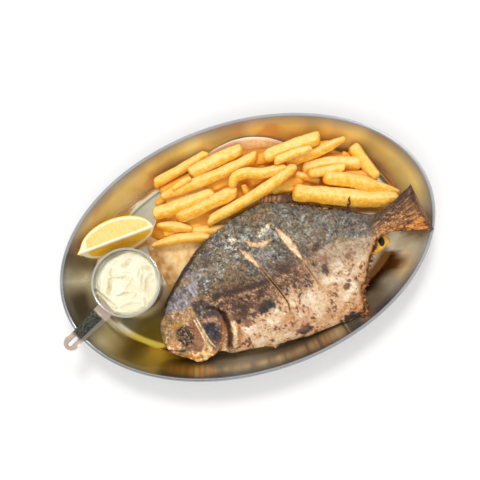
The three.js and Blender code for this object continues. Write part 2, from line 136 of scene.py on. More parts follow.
def dish_height(x, y):
    """Height of the dish's inner surface, as food feels it."""
    farthest, halvings = 140.0, 24
    low, high = np.zeros(np.shape(x)), np.full(np.shape(x), farthest)
    for _ in range(halvings):
        r = (low + high) / 2
        outside = np.hypot(x / (r + STRETCH * np.minimum(1, r / FLOOR_EDGE)), y / r) > 1
        low, high = np.where(outside, r, low), np.where(outside, high, r)
    return DISH_SHEET + np.maximum(0, low - FOOD_EDGE) * (RIM_HEIGHT - DISH_SHEET) / (RIM - FOOD_EDGE)


def sheet_of(along, around):
    """A flat grid as a bmesh, and the two shares, 0 to 1, at which each of its points lies."""
    bm = bmesh.new()
    bmesh.ops.create_grid(bm, x_segments=along, y_segments=around, size=1)
    flat = np.array([v.co for v in bm.verts])
    return bm, (flat[:, 0] + 1) / 2, (flat[:, 1] + 1) / 2


def put(bm, points):
    """Moves each point of a shape to its place."""
    for vertex, point in zip(bm.verts, np.asarray(points, float)):
        vertex.co = point


def points_of(bm):
    return np.array([v.co for v in bm.verts])


def normals_of(bm):
    bm.normal_update()
    return np.array([v.normal for v in bm.verts])


def turn_all(bm, degrees, axis="Z"):
    matrix = Matrix.Rotation(math.radians(degrees), 3, axis)
    bmesh.ops.rotate(bm, cent=(0, 0, 0), matrix=matrix, verts=bm.verts)


def move_all(bm, way):
    bmesh.ops.translate(bm, vec=way, verts=bm.verts)


def scale_all(bm, factors):
    bmesh.ops.scale(bm, vec=factors, verts=bm.verts)


def close_up(bm, distance=1e-4):
    """Joins the seam of a skin that meets itself, fills its ends and turns its faces out."""
    bmesh.ops.remove_doubles(bm, verts=bm.verts, dist=distance)
    bmesh.ops.dissolve_degenerate(bm, edges=bm.edges, dist=distance)
    open_edges = [e for e in bm.edges if e.is_boundary]
    if open_edges:
        bmesh.ops.holes_fill(bm, edges=open_edges, sides=0)
    bmesh.ops.recalc_face_normals(bm, faces=bm.faces)


def keep(bm, name, value):
    """Stores a number for each point, or one for them all, for the materials to read."""
    layer = bm.verts.layers.float.get(name) or bm.verts.layers.float.new(name)
    for vertex, number in zip(bm.verts, np.broadcast_to(value, len(bm.verts))):
        vertex[layer] = float(number)


def mesh_of(name, bm):
    """A mesh of the shape, which is let go."""
    mesh = bpy.data.meshes.new(name)
    bm.to_mesh(mesh)
    bm.free()
    return mesh


def in_scene(name, data):
    """A new object in the scene."""
    made = bpy.data.objects.new(name, data)
    bpy.context.scene.collection.objects.link(made)
    return made


def piece(name, bm, material, node, flat_angle=None):
    """Puts a finished shape in the scene, in metres, in place of its CAD node."""
    scale_all(bm, (MM, MM, MM))
    for face in bm.faces:
        face.smooth = True
    if flat_angle is not None:
        for edge in bm.edges:
            if len(edge.link_faces) == 2 and edge.calc_face_angle(0) > math.radians(flat_angle):
                edge.smooth = False
    made = in_scene(name, mesh_of(name, bm))
    made.data.materials.append(material)
    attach(made, "root")
    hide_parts(node)
    return made


def settle(made):
    """Makes a piece's modifiers part of its mesh."""
    shaped = bpy.data.meshes.new_from_object(made.evaluated_get(bpy.context.evaluated_depsgraph_get()))
    made.modifiers.clear()
    made.data = shaped


def spun(profile, steps):
    """A closed skin turned about the upright axis; the profile runs from axis to axis."""
    bm = bmesh.new()
    corners = [bm.verts.new((r, 0, z)) for r, z in profile]
    edges = [bm.edges.new(pair) for pair in zip(corners, corners[1:])]
    bmesh.ops.spin(bm, geom=corners + edges, cent=(0, 0, 0), axis=(0, 0, 1), dvec=(0, 0, 0),
                   angle=math.tau, steps=steps, use_merge=True, use_normal_flip=False)
    bmesh.ops.remove_doubles(bm, verts=bm.verts, dist=1e-3)
    bmesh.ops.recalc_face_normals(bm, faces=bm.faces)
    return bm


def arc(cx, cz, radius, start, end, count):
    """Points round a middle, from one angle to another, in degrees."""
    angles = [math.radians(start + (end - start) * i / count) for i in range(count + 1)]
    return [(cx + radius * math.cos(angle), cz + radius * math.sin(angle)) for angle in angles]


def curve(start, corner, end, count=8):
    """Points of an easy curve that leaves start and reaches end in line with the corner."""
    return [tuple((1 - t) ** 2 * a + 2 * t * (1 - t) * b + t * t * c for a, b, c in zip(start, corner, end))
            for t in np.linspace(0, 1, count + 1)]


# ---------------------------------------------------------------- materials

class Nodes:
    """Short ways to add shader nodes to a tree."""

    def __init__(self, tree):
        self.tree = tree

    def fill(self, socket, value):
        """Gives an input its value, or links it to the output that makes one."""
        if isinstance(value, bpy.types.NodeSocket):
            self.tree.links.new(value, socket)
        elif socket.type == "RGBA":
            socket.default_value = (*value, 1)
        else:
            socket.default_value = value

    def node(self, kind, inputs=(), **settings):
        made = self.tree.nodes.new(kind)
        for key, value in settings.items():
            setattr(made, key, value)
        for key, value in dict(inputs).items():
            self.fill(made.inputs[key], value)
        return made

    def mapped(self, scale=(1, 1, 1), turn=0.0, at=(0, 0, 0)):
        made = self.node("ShaderNodeMapping", {"Vector": self.place, "Scale": scale,
                                               "Location": at, "Rotation": (0, 0, turn)})
        return made.outputs["Vector"]

    def paired(self, x, y):
        """A place on a plane, from its two numbers."""
        return self.node("ShaderNodeCombineXYZ", {"X": x, "Y": y}).outputs["Vector"]

    def noise(self, scale, detail=4.0, rough=0.55, vector=None, distortion=0.0):
        made = self.node("ShaderNodeTexNoise", {"Vector": vector or self.place, "Scale": scale,
                                                "Detail": detail, "Roughness": rough,
                                                "Distortion": distortion})
        return made.outputs["Fac"]

    def cells(self, scale, vector=None, feature="F1"):
        made = self.node("ShaderNodeTexVoronoi", {"Vector": vector or self.place, "Scale": scale},
                         feature=feature)
        return made.outputs["Distance"]

    def ramp(self, value, *stops):
        """Blends between stops of (place, colour or grey)."""
        made = self.node("ShaderNodeValToRGB", {"Fac": value})
        elements = made.color_ramp.elements
        while len(elements) < len(stops):
            elements.new(0.5)
        for element, (at, colour) in zip(elements, stops):
            element.position = at
            if isinstance(colour, (int, float)):
                colour = (colour, colour, colour)
            element.color = (*colour, 1)
        return made.outputs["Color"]

    def mix(self, share, low, high, blend="MIX"):
        made = self.node("ShaderNodeMix", data_type="RGBA", blend_type=blend)
        for name, kind, value in (("Factor", "VALUE", share), ("A", "RGBA", low), ("B", "RGBA", high)):
            self.fill(next(s for s in made.inputs if s.name == name and s.type == kind), value)
        return next(s for s in made.outputs if s.type == "RGBA")

    def over(self, base, colour, mask, strength):
        """Lays a colour over another, as far as a mask says, at some strength."""
        return self.mix(self.math("MULTIPLY", mask, strength), base, colour)

    def math(self, operation, *values, clamp=False):
        made = self.node("ShaderNodeMath", dict(enumerate(values)), operation=operation, use_clamp=clamp)
        return made.outputs[0]

    def stored(self, name, output="Fac"):
        return self.node("ShaderNodeAttribute", attribute_name=name).outputs[output]

    def bumped(self, *layers):
        """The normal left by layers of (height, strength, distance in mm), the broadest first."""
        normal = None
        for height, strength, distance in layers:
            inputs = {"Height": height, "Strength": strength, "Distance": distance * MM}
            if normal is not None:
                inputs["Normal"] = normal
            normal = self.node("ShaderNodeBump", inputs).outputs["Normal"]
        return normal

    def effect(self, group, **inputs):
        """Adds a shared effect and gives back its outputs."""
        return self.node("ShaderNodeGroup", inputs, node_tree=group).outputs

    def specks(self, scale, amount, vector=None):
        return self.effect(SPECKS, Place=vector or self.place, Scale=scale, Amount=amount)["Mask"]


class Finish(Nodes):
    """A material with a Principled shader."""

    def __init__(self, name, **plain):
        self.material = bpy.data.materials.new(name)
        self.material.use_nodes = True
        super().__init__(self.material.node_tree)
        self.shader = self.tree.nodes["Principled BSDF"]
        for socket, value in plain.items():
            self.fill(self.shader.inputs[socket.replace("_", " ")], value)
        self.place = self.tree.nodes.new("ShaderNodeTexCoord").outputs["Object"]

    def feed(self, socket, value):
        self.fill(self.shader.inputs[socket], value)

    def crust(self, scale, strength):
        """Roughens the surface with a fine uneven crust."""
        self.feed("Normal", self.effect(CRUST, Place=self.place, Scale=scale, Strength=strength)["Normal"])

    def bump(self, *layers):
        self.feed("Normal", self.bumped(*layers))


class Effect(Nodes):
    """A look that several materials share, as a node group with named inputs and outputs."""

    def __init__(self, name, inputs, outputs):
        super().__init__(bpy.data.node_groups.new(name, "ShaderNodeTree"))
        for way, sockets in (("INPUT", inputs), ("OUTPUT", outputs)):
            for label, kind in sockets.items():
                self.tree.interface.new_socket(name=label, in_out=way, socket_type="NodeSocket" + kind)
        self.given = self.tree.nodes.new("NodeGroupInput").outputs
        self.given_back = self.tree.nodes.new("NodeGroupOutput").inputs
        self.place = self.given["Place"]

    def give(self, label, value):
        self.tree.links.new(value, self.given_back[label])


def rgb(red, green, blue):
    """A display colour, 0 to 255, as the linear numbers that shaders use."""
    return tuple((c / 255 / 12.92) if c <= 10 else ((c / 255 + 0.055) / 1.055) ** 2.4
                 for c in (red, green, blue))


def rolled_steel():
    """Thin polished sheet: faint smears of grease, fine scratches and slow waves."""
    e = Effect("rolled steel",
               {"Place": "Vector", "Streaks": "Vector", "Colour": "Color", "Roughness": "Float"},
               {"Colour": "Color", "Roughness": "Float", "Normal": "Vector"})
    smear = e.noise(22, detail=5, rough=0.6, distortion=0.6)
    along = e.node("ShaderNodeVectorMath", {0: e.place, 1: e.given["Streaks"]}, operation="MULTIPLY")
    brushed = e.noise(60, detail=6, rough=0.7, vector=along.outputs["Vector"])
    spots = e.noise(260, detail=3)
    dull = e.ramp(smear, (0.35, 1.0), (0.7, 0.86))
    e.give("Colour", e.mix(1.0, e.given["Colour"], dull, blend="MULTIPLY"))
    wear = e.math("MULTIPLY", e.math("SUBTRACT", smear, 0.5), 0.16)
    wear = e.math("ADD", wear, e.math("MULTIPLY", brushed, 0.05))
    e.give("Roughness", e.math("ADD", e.given["Roughness"], wear))
    e.give("Normal", e.bumped((e.noise(14, detail=2), 0.5, 0.25), (brushed, 0.12, 0.05), (spots, 0.06, 0.03)))
    return e.tree


def strewn_specks():
    """A mask of specks and small patches, more of them the more there is said to be."""
    e = Effect("strewn specks", {"Place": "Vector", "Scale": "Float", "Amount": "Float"}, {"Mask": "Float"})
    grain = e.noise(e.given["Scale"], detail=3)
    level = e.math("ADD", grain, e.math("MULTIPLY", e.given["Amount"], 0.3))
    e.give("Mask", e.ramp(level, (0.66, 0.0), (0.76, 1.0)))
    return e.tree


def cooked_surface():
    """A fine uneven crust: lumps, with smaller ones on them."""
    e = Effect("cooked surface", {"Place": "Vector", "Scale": "Float", "Strength": "Float"},
               {"Normal": "Vector"})
    lumps = e.noise(e.given["Scale"], detail=4)
    finer = e.noise(e.math("MULTIPLY", e.given["Scale"], 3.7), detail=3)
    e.give("Normal", e.bumped((lumps, e.given["Strength"], 0.6),
                              (finer, e.math("MULTIPLY", e.given["Strength"], 0.7), 0.2)))
    return e.tree


STEEL = rolled_steel()
SPECKS = strewn_specks()
CRUST = cooked_surface()


# ---------------------------------------------------------------- dish

def oval(bm):
    """Draws a round dish out to its length, without a change of its wall's slope across."""
    for v in bm.verts:
        r = math.hypot(v.co.x, v.co.y)
        if r > 1e-6:
            v.co.x += v.co.x / r * STRETCH * min(1, r / FLOOR_EDGE)


# Painted reflections and shade on the inside of the wall: degrees round the dish, and how much painted golden
# reflection, painted pale highlight and painted shade lie there.
WALL_LOOK = [
    (-180, 0, 0, 0.85), (-168, 0, 0, 0.8), (-158, 0, 0.2, 0), (-148, 0, 0, 0.35), (-138, 0, 0.3, 0),
    (-126, 0, 0, 0.3), (-112, 0, 0.1, 0), (-100, 0, 0.4, 0), (-88, 0, 0, 0.2), (-70, 0, 0, 0.2),
    (-60, 0, 0, 0.3), (-50, 0, 0.5, 0), (-38, 0, 0.6, 0), (-30, 0, 1, 0), (-20, 0.3, 0, 0.4),
    (-10, 0.4, 1, 0), (0, 1, 1, 0), (20, 1, 0.5, 0.1), (29, 0.8, 0, 0.3), (40, 1, 0, 0), (62, 1, 0.4, 0),
    (74, 1, 0, 0), (81, 0.8, 0, 0.35), (92, 1, 0, 0), (101, 1, 0.4, 0), (110, 0.9, 0, 0.2),
    (121, 1, 0.4, 0), (140, 0.8, 0.6, 0), (150, 0.7, 0, 0.3), (158, 0, 0, 0.3), (164, 0, 0.2, 0.2),
    (170, 0, 1, 0), (175, 0, 0.3, 0.4), (180, 0, 0, 0.85),
]


def dish_profile():
    """Half a section of the dish: floor, wall, rolled edge, and the underside back to the middle."""
    inner, outer, top = FLOOR_EDGE, FLOOR_EDGE + 0.6, DISH_SHEET
    lean = math.degrees(math.atan(DISH_SLOPE))
    profile = [(r, top) for r in (0, 30, 60, 78)]
    profile += curve((inner - 5, top), (inner, top), (inner + 2.5, top + DISH_SLOPE * 2.5))
    profile += [(inner + out, top + DISH_SLOPE * out) for out in (8, 15)]
    profile += arc(RIM, RIM_HEIGHT, BEAD, lean + 135, lean - 135, 14)
    profile += [(outer + 14, DISH_SLOPE * 14)]
    profile += curve((outer + 2.5, DISH_SLOPE * 2.5), (outer, 0), (outer - 5, 0))
    return profile + [(r, 0) for r in (60, 30, 0)]


def soil_dish(bm, within):
    """Says where the inside is painted with reflections and shade, and how its wall looks."""
    x, y, z = points_of(bm).T
    # An olive gold painted reflection towards the left end, on the near side.
    keep(bm, "painted_olive_reflection", smooth(np.hypot(x + 108, y + 66) + 9 * clouds(x, y, 25, 11, 2), 58, 26))
    # A brown painted shadow and reflection of the fish lies beside the head, and behind the belly.
    by_head = away_from(x, y, [(-84, 2), (-90, -14), (-100, -34)]) + 4 * clouds(x, y, 9, 13, 2)
    by_tail = away_from(x, y, [(98, -66), (110, -58), (124, -54)]) + 4 * clouds(x, y, 9, 14, 2)
    keep(bm, "painted_shadow", np.maximum(0.85 * smooth(by_head, 15, 7), smooth(by_tail, 14, 6)))
    # The wall gets a painted golden reflection beside the fries, and painted highlights and shade by turns
    # all the way round.
    angle = np.degrees(np.arctan2(y / RIM, x / (RIM + STRETCH))) + 4 * clouds(x, y, 30, 15, 2)
    places, *looks = np.array(WALL_LOOK).T
    golden, pale, shady = [np.interp(angle, places, look) for look in looks]
    on_wall = within * smooth(z, 2, 9)
    # A painted pale highlight on the wall beside the tail.
    glare = within * smooth(np.hypot((x - 131) / 15, (y + 39) / 10), 1.2, 0.8)
    keep(bm, "golden", 0.85 * golden * on_wall)
    keep(bm, "shady", shady * on_wall * (1 - glare))
    # Less metal where the painted gold and highlights are, so that they show as painted light.
    keep(bm, "painted_sheen", np.maximum(0.42 * np.maximum(golden, pale) * (1 - shady) * on_wall, 0.85 * glare))


def make_dish(material):
    bm = spun(dish_profile(), steps=192)
    x, y, z = points_of(bm).T
    above_wall = z - DISH_SHEET - DISH_SLOPE * np.maximum(0, np.hypot(x, y) - FLOOR_EDGE)
    within = smooth(above_wall, -1.5, -0.3) * (z > DISH_SHEET / 2)
    keep(bm, "inside", within)
    keep(bm, "rim", smooth(z, 33.4, 34.2))
    keep(bm, "wall", smooth(z, 2, 9))
    oval(bm)
    soil_dish(bm, within)
    piece("oval_dish", bm, material, "dish")


# ---------------------------------------------------------------- cup, handle and sauce

def make_cup(material):
    rim, base, sheet, lip, corner, height, ring = 31.1, 28.6, 0.8, 0.9, 3.0, 39.7, 12
    profile = [(0, sheet), (ring, sheet), (base - corner, sheet)]
    profile += arc(base - corner, corner, corner - sheet, -90, 0, 6)[1:]
    profile += arc(rim - lip, height - lip, lip, 207, -63, 12)
    profile += [(base, corner)]
    profile += arc(base - corner, corner, corner, 0, -90, 6)[1:]
    profile += [(ring, 0), (0, 0)]
    bm = spun(profile, steps=128)
    move_all(bm, CUP_AT)
    piece("sauce_cup_shell", bm, material, "sauce_cup")


# Creases of the sauce, measured from the middle of the cup: line, breadth, depth.
SAUCE_CREASES = [
    ([(1.7, 15.4), (4.3, 16.2), (7.7, 18.6)], 2.6, 2.6),
    ([(-9.5, 16.2), (-11.6, 11.5), (-10, 7.7), (-5.9, 6.3)], 1.2, 1.6),
    ([(-12.5, 6.7), (-15, 2), (-18.4, -3)], 2.6, 3.2), ([(-4.6, 6.5), (-0.4, 5.7)], 1.9, 2.0),
    ([(-0.4, 9.4), (5.6, 7.7)], 0.9, 0.9), ([(6.6, 0.8), (0.7, -2.5), (-3.2, -5.7)], 1.3, 1.2),
    ([(-11.1, -8.7), (-6.7, -7.7), (-2.5, -8.5)], 1.5, 1.9), ([(14.1, 6.9), (11.5, 1.2)], 1.5, 1.7),
    ([(17.9, 4), (13.3, -2.7), (10, -8.9)], 1.6, 2.0), ([(18.8, 7), (22, 6.2), (23.5, 5)], 2.9, 3.0),
    ([(23, -0.2), (17.9, -5.9), (13.7, -12.6)], 2.2, 2.2), ([(11, -19.1), (9.3, -23.8)], 1.8, 1.6),
    ([(-10.9, -20.8), (-3.3, -20.1), (4, -21.4)], 2.6, 1.4),
    ([(-29.6, 3.6), (-24.2, -3.8), (-19.2, -11.2), (-15.8, -15.8)], 1.5, 2.0),
    ([(-22, 10), (-23, 5)], 1.6, 1.2), ([(-2, 22), (-7, 20)], 1.6, 1.2), ([(4, -12), (1, -16)], 1.4, 1.1),
]


def make_sauce(material):
    """Thick sauce with creases: a side below the surface, and a top that runs in to the middle."""
    rings, turns, side, wide = 110, 220, 0.08, 29.1
    bm, share, turn = sheet_of(rings, turns)
    radius = np.where(share < side, wide, wide * (1 - (share - side) / (1 - side)))
    angle = turn * math.tau
    x, y = radius * np.cos(angle), radius * np.sin(angle)
    bend = clouds(x, y, 7, 3, 3) * 1.2
    level = SAUCE_TOP + 1.7
    level = level + clouds(x + bend, y - bend, 12, 5, 3) * 1.1 + clouds(x, y - bend, 4.5, 8, 3) * 0.45
    painted_crease_shade = np.zeros(len(x))
    for line, breadth, depth in SAUCE_CREASES:
        away, along = from_line(x + bend, y - bend, line)
        lip = smooth(np.abs(away - breadth * 1.2), breadth, 0) * 0.35
        sunk = smooth(away, breadth, 0) * np.sin(np.clip(along, 0.15, 0.85) * math.pi) ** 0.5
        level += depth * (lip - sunk)
        # Painted shade in the creases.
        painted_crease_shade = np.maximum(painted_crease_shade, sunk * depth / 2.6 * (0.8 + 0.5 * clouds(x, y, 4, 6, 2)))
    # It slumps away from the wall on one side.
    slump = smooth(np.cos(angle - math.radians(143)), 0.1, 0.8)
    level -= (1.2 + 4.6 * slump) * smooth(radius, wide - 3 - 4 * slump, wide) ** 1.5
    level = np.minimum(level, SAUCE_TOP + 3.2)
    bottom = SAUCE_TOP - 6.5
    side_top = SAUCE_TOP - 0.4 - 4.4 * slump
    z = np.where(share < side, bottom + share / side * (side_top - bottom), level)
    put(bm, np.c_[x, y, z] + CUP_AT)
    keep(bm, "herb", smooth(away_from(x, y, [(-25, -3), (-21, -9), (-15, -17)]), 3.5, 0.5))
    keep(bm, "painted_crease_shade", painted_crease_shade)
    close_up(bm, 2e-3)
    piece("white_sauce", bm, material, "sauce")


def onto_cup(bm):
    """Brings a shape of the handle, made along the X axis, to where the handle leaves the cup."""
    turn_all(bm, 207)
    move_all(bm, (CUP_AT[0] - 25.5, CUP_AT[1] - 17.2, CUP_AT[2]))


def slot_bar(middle):
    """The rounded bar that cuts out the handle's slot."""
    bm = bmesh.new()
    bmesh.ops.create_cube(bm, size=1)
    scale_all(bm, (10.5, 3.6, 30))
    upright = [e for e in bm.edges if abs(e.verts[0].co.z - e.verts[1].co.z) > 1]
    bmesh.ops.bevel(bm, geom=upright, offset=1.75, offset_type="OFFSET", segments=8, profile=0.5,
                    affect="EDGES", material=-1)
    move_all(bm, (middle - 1.4, 0, 42))
    onto_cup(bm)
    scale_all(bm, (MM, MM, MM))
    return in_scene("slot bar", mesh_of("slot bar", bm))


def make_handle(material):
    """A pressed strap with a flange along one side, and a round end with a slot."""
    length, root, waist, end_radius, thick, hidden = 46.3, 15.2, 12.8, 6.9, 1.2, 4
    low_top, high_top = 37.2, 42.38
    middle = length - end_radius
    bm, along, across = sheet_of(90, 24)
    x = -hidden + along * (length + hidden)
    x = np.where(x > middle, middle + end_radius * np.sin((x - middle) / end_radius * math.pi / 2), x)
    round_end = np.sqrt(np.maximum(0, end_radius ** 2 - (x - middle) ** 2))
    neck = (root + (waist - root) * smooth(x, 5, middle * 0.6)) / 2
    half = np.where(x > middle, np.maximum(0.4, round_end), np.maximum(neck, round_end))
    share = across * 2 - 1
    top = low_top + (high_top - low_top) * np.maximum(0, x - 5) / (length - 5)
    pressed = smooth(x, 5, 7) * (1 - smooth(x, middle - 8, middle))
    top -= pressed * (2.0 * smooth(share, 0.55, 1.0) + 0.7 * smooth(-share, 0.7, 1.0))
    top += pressed * 0.25 * np.cos(np.clip(share + 0.1, -0.7, 0.5) * 4.2)
    put(bm, np.c_[x, share * half, top])
    bmesh.ops.recalc_face_normals(bm, faces=bm.faces)
    if sum(f.normal.z for f in bm.faces) < 0:
        bmesh.ops.reverse_faces(bm, faces=bm.faces)
    bmesh.ops.solidify(bm, geom=bm.faces, thickness=thick)
    x, y = points_of(bm).T[:2]
    # The pale ends are partly wear and partly a painted sheen; the flange is painted lighter, as a painted
    # reflection.
    keep(bm, "wear_and_painted_sheen", np.maximum(smooth(x, middle - 9, middle - 4), smooth(x, 7.5, 5.5)))
    keep(bm, "flange", smooth(y, 3.2, 4.2))
    onto_cup(bm)
    strap = piece("cup_strap", bm, material, "cup_handle", flat_angle=50)
    bar = slot_bar(middle)
    cut = strap.modifiers.new("slot", "BOOLEAN")
    cut.object, cut.operation, cut.solver = bar, "DIFFERENCE", "EXACT"
    settle(strap)
    bpy.data.objects.remove(bar)
    soften = strap.modifiers.new("soft edges", "BEVEL")
    soften.width, soften.segments = 0.25 * MM, 2
    soften.limit_method, soften.angle_limit = "ANGLE", 0.9


# ---------------------------------------------------------------- flatbread

def make_bread(material):
    """A flat round that leans on the dish's wall, a bit smaller where the fish hides it, with one ear."""
    rings, turns = 150, 300
    wide, wide_below_fish, ear_length = 98.9, 86, 11
    bm, share, turn = sheet_of(rings, turns)
    angle = turn * math.tau
    top = share > 0.5
    out = 1 - np.abs(share * 2 - 1) ** 1.6
    hidden = smooth(-np.sin(angle - 0.2), -0.1, 0.7)
    from_ear = (angle - math.radians(161) + math.pi) % math.tau - math.pi
    edge = wide + (wide_below_fish - wide) * hidden + ear_length * np.exp(-(from_ear / 0.22) ** 2)
    edge += 0.8 * np.sin(angle * 5 + 1)
    edge += 0.5 * clouds(angle * 30, 0 * angle, 9, 21, 3) * smooth(np.abs(np.sin(angle / 2)), 0, 0.05)
    x, y = BREAD_AT[0] + edge * out * np.cos(angle), BREAD_AT[1] + edge * out * np.sin(angle)
    outward = 1 + 0.5 / np.maximum(np.hypot(x, y), 1)
    rest = dish_height(x * outward, y * outward) + 0.35
    # The edge is rounded, and air blisters lift the top here and there.
    lip = np.sqrt(np.clip(1 - np.clip((out - 0.975) / 0.025, 0, 1) ** 2, 0, 1))
    thick = (1.4 + 1.2 * smooth(out, 1.0, 0.86)) * np.maximum(lip, 0.02)
    blister = np.maximum(0, clouds(x, y, 22, 23, 3)) ** 1.4 * 1.1 * smooth(out, 1.0, 0.9)
    put(bm, np.c_[x, y, rest + np.where(top, thick + blister, 0.7 * (1 - lip))])
    scorch = smooth(clouds(x, y, 15, 25, 3), 0.25, 0.8) * (1 - 0.8 * smooth(y, 55, 75))
    near_fish = np.hypot(x + 52, y - 22) < 16
    keep(bm, "toast", np.clip(scorch + 0.4 * near_fish * smooth(clouds(x, y, 5, 26, 2), 0, 0.6), 0, 1))
    keep(bm, "flour", smooth(out, 0.965, 0.985) * smooth(y, 30, 60))
    # Darker brown beside the cup: partly a toasted edge, partly the cup's painted shadow.
    keep(bm, "crust", smooth(np.hypot(x + 114, y), 47, 37) * (0.8 + 0.4 * clouds(x, y, 4, 28, 2)))
    close_up(bm, 2e-3)
    piece("bread_round", bm, material, "flatbread")


# ---------------------------------------------------------------- lemon

def make_lemon(material):
    """A wedge; around it w goes out along the lit cut face, round the rind and back along the shaded one."""
    half, radius, tip = 34.5, 22.0, 3.5
    bright, shaded = math.radians(14), math.radians(61)
    face, rind = 0.40, 0.28
    bm, s, w = sheet_of(150, 220)
    lit, back = w < face, w > face + rind
    is_face = lit | back
    x = -half - tip + (1 - np.cos(s * math.pi)) / 2 * (2 * half + tip)
    t = np.where(lit, w / face, np.where(back, (1 - w) / (1 - face - rind), 1.0))
    lit_angle, back_angle = -bright, shaded - math.pi
    theta = lit_angle + (back_angle - lit_angle) * np.clip((w - face) / rind, 0, 1)
    fruit = radius * np.sqrt(np.maximum(0, 1 - (x / half) ** 2))
    nipple = np.interp(x, [-half - tip, -half - tip + 0.5, -35.5, -32.5, -30], [0, 1.2, 3.2, 6.8, 0])
    fruit = np.maximum(fruit, nipple)
    r = t * fruit
    y, z = r * np.cos(theta), r * np.sin(theta)
    # Pith lies under the rind and along the core; the flesh sits a little lower between.
    rind_gap = fruit * (1 - t)
    wobble = 0.5 * clouds(x, r, 5, 35, 2)
    pith = np.maximum(smooth(rind_gap + wobble, 4.2, 3.0), smooth(r + wobble, 3.0, 1.8))
    pith = np.where(is_face, pith, 1.0)
    pith = np.maximum(pith, smooth(-x + 0.25 * r, half - 6, half - 3.5))
    pith = np.maximum(pith, smooth(x, half - 4.5, half - 2.5))
    lumps = clouds(x * 0.45 + r, r * 0.5 - x * 0.15, 3.4, 31, 3)
    sink = (1 - pith) * is_face * (0.5 + 0.35 * lumps)
    y = y - np.where(lit, np.sin(bright), -np.sin(shaded)) * sink
    z = z - np.where(lit, np.cos(bright), np.cos(shaded)) * sink
    pores = clouds(x, theta * 20, 1.6, 33, 2) * (~is_face) * 0.12
    put(bm, np.c_[x, y + np.cos(theta) * pores, z + np.sin(theta) * pores])
    keep(bm, "pith", pith)
    keep(bm, "rind", np.where(is_face, smooth(rind_gap, 1.3, 0.7), 1.0))
    keep(bm, "spoke", x)
    keep(bm, "out", r)
    # The shaded cut face, whose flesh is painted a deeper gold as painted shade.
    keep(bm, "under", back)
    close_up(bm, 2e-3)
    turn_all(bm, 5, "Y")
    turn_all(bm, 2.7)
    move_all(bm, LEMON_AT)
    piece("lemon_piece", bm, material, "lemon_wedge", flat_angle=60)


# ---------------------------------------------------------------- fries

# Each fry: its line, breadth in the middle, share of that left at its two ends, roll, slant of the two ends.
FRIES = [
    ([(-65, 84, 18), (-9, 95, 20)], 11, (0.85, 1), -30, 2, -4),
    ([(-30, 81, 24), (-3, 84.5, 25), (24, 88, 24)], 13.2, (0.9, 0.75), -10, -2, 3),
    ([(-62, 70, 19), (-23, 71, 22), (7, 73, 23), (35, 77, 23)], 13.5, (0.5, 0.8), -26, 4, 7),
    ([(-50, 71.5, 26), (-30, 76, 27)], 6, (0.6, 0.8), 6, 0, 0),
    ([(-60, 64, 12), (-21, 64, 13)], 11, (0.8, 1), -20, 0, 0),
    ([(-74, 57, 17), (-43, 56.5, 20), (-14, 58, 20)], 12.6, (0.95, 0.8), -24, 2, -2),
    ([(-54, 45.5, 18), (-26, 48, 21), (7, 52, 22)], 14.2, (0.85, 0.8), -38, -6, 3),
    ([(-28, 34.5, 16), (8, 40.3, 23), (36, 46.3, 27), (64, 55.5, 30)], 11.6, (0.85, 0.8), -30, 6, -4),
    ([(3, 56, 25), (8, 62.8, 28), (17, 63.8, 29.5), (33, 58.6, 30), (57, 57, 28)], 11, (0.7, 0.9),
     -28, 0, -3),
    ([(14, 56, 22), (14.5, 45, 16)], 8.5, (0.8, 1), 30, 0, 0),
    ([(40, 73, 27), (66, 73.3, 30), (95, 73.4, 31)], 13.6, (0.9, 0.95), -12, 2, 3),
    ([(47, 65, 34), (64.5, 66.2, 35.9), (83, 65.5, 35.4)], 8.4, (0.85, 0.6), -8, 3, -2),
    ([(57, 63, 21), (85, 62, 24.5), (118, 65.6, 26)], 12, (0.8, 0.3), -36, 0, 0),
    ([(72, 53.5, 17), (98, 49.3, 18), (126, 40, 17)], 13, (0.9, 1), -14, 2, 0),
    ([(74, 45.5, 23), (91, 43, 25), (108.5, 40.2, 24.5)], 8.6, (0.8, 0.95), -4, 0, 3),
    ([(123.5, 59, 19), (136, 22, 15)], 12.6, (1, 0.9), 10, 0, -2),
    ([(64, 50, 17), (85, 37, 13)], 9.5, (0.9, 1), -30, 2, 0),
    ([(86.5, 38.5, 24), (109, 27.6, 25), (130, 15, 21.5), (151, 2, 16.5)], 15.5, (0.92, 0.22), -56, -1, 0),
    ([(55, 34, 23), (87, 19.8, 24), (119.5, 6, 22), (147, -2.5, 17)], 18, (1, 0.7), -34, 0, 0),
    ([(52, 26, 11), (97, 2.5, 11)], 9.5, (1, 1), -20, 0, 0),
    ([(-75, 46.5, 14), (-59, 39.6, 15), (-44, 32, 13)], 11.5, (0.3, 0.35), -26, 0, 0),
    ([(-85, 30.5, 9), (-58, 28.5, 12), (-30, 20, 10)], 10.5, (0.4, 1), -28, 6, 0),
    ([(-46, 32, 9), (-14, 22, 10)], 12, (0.9, 1), -34, 0, 0),
]
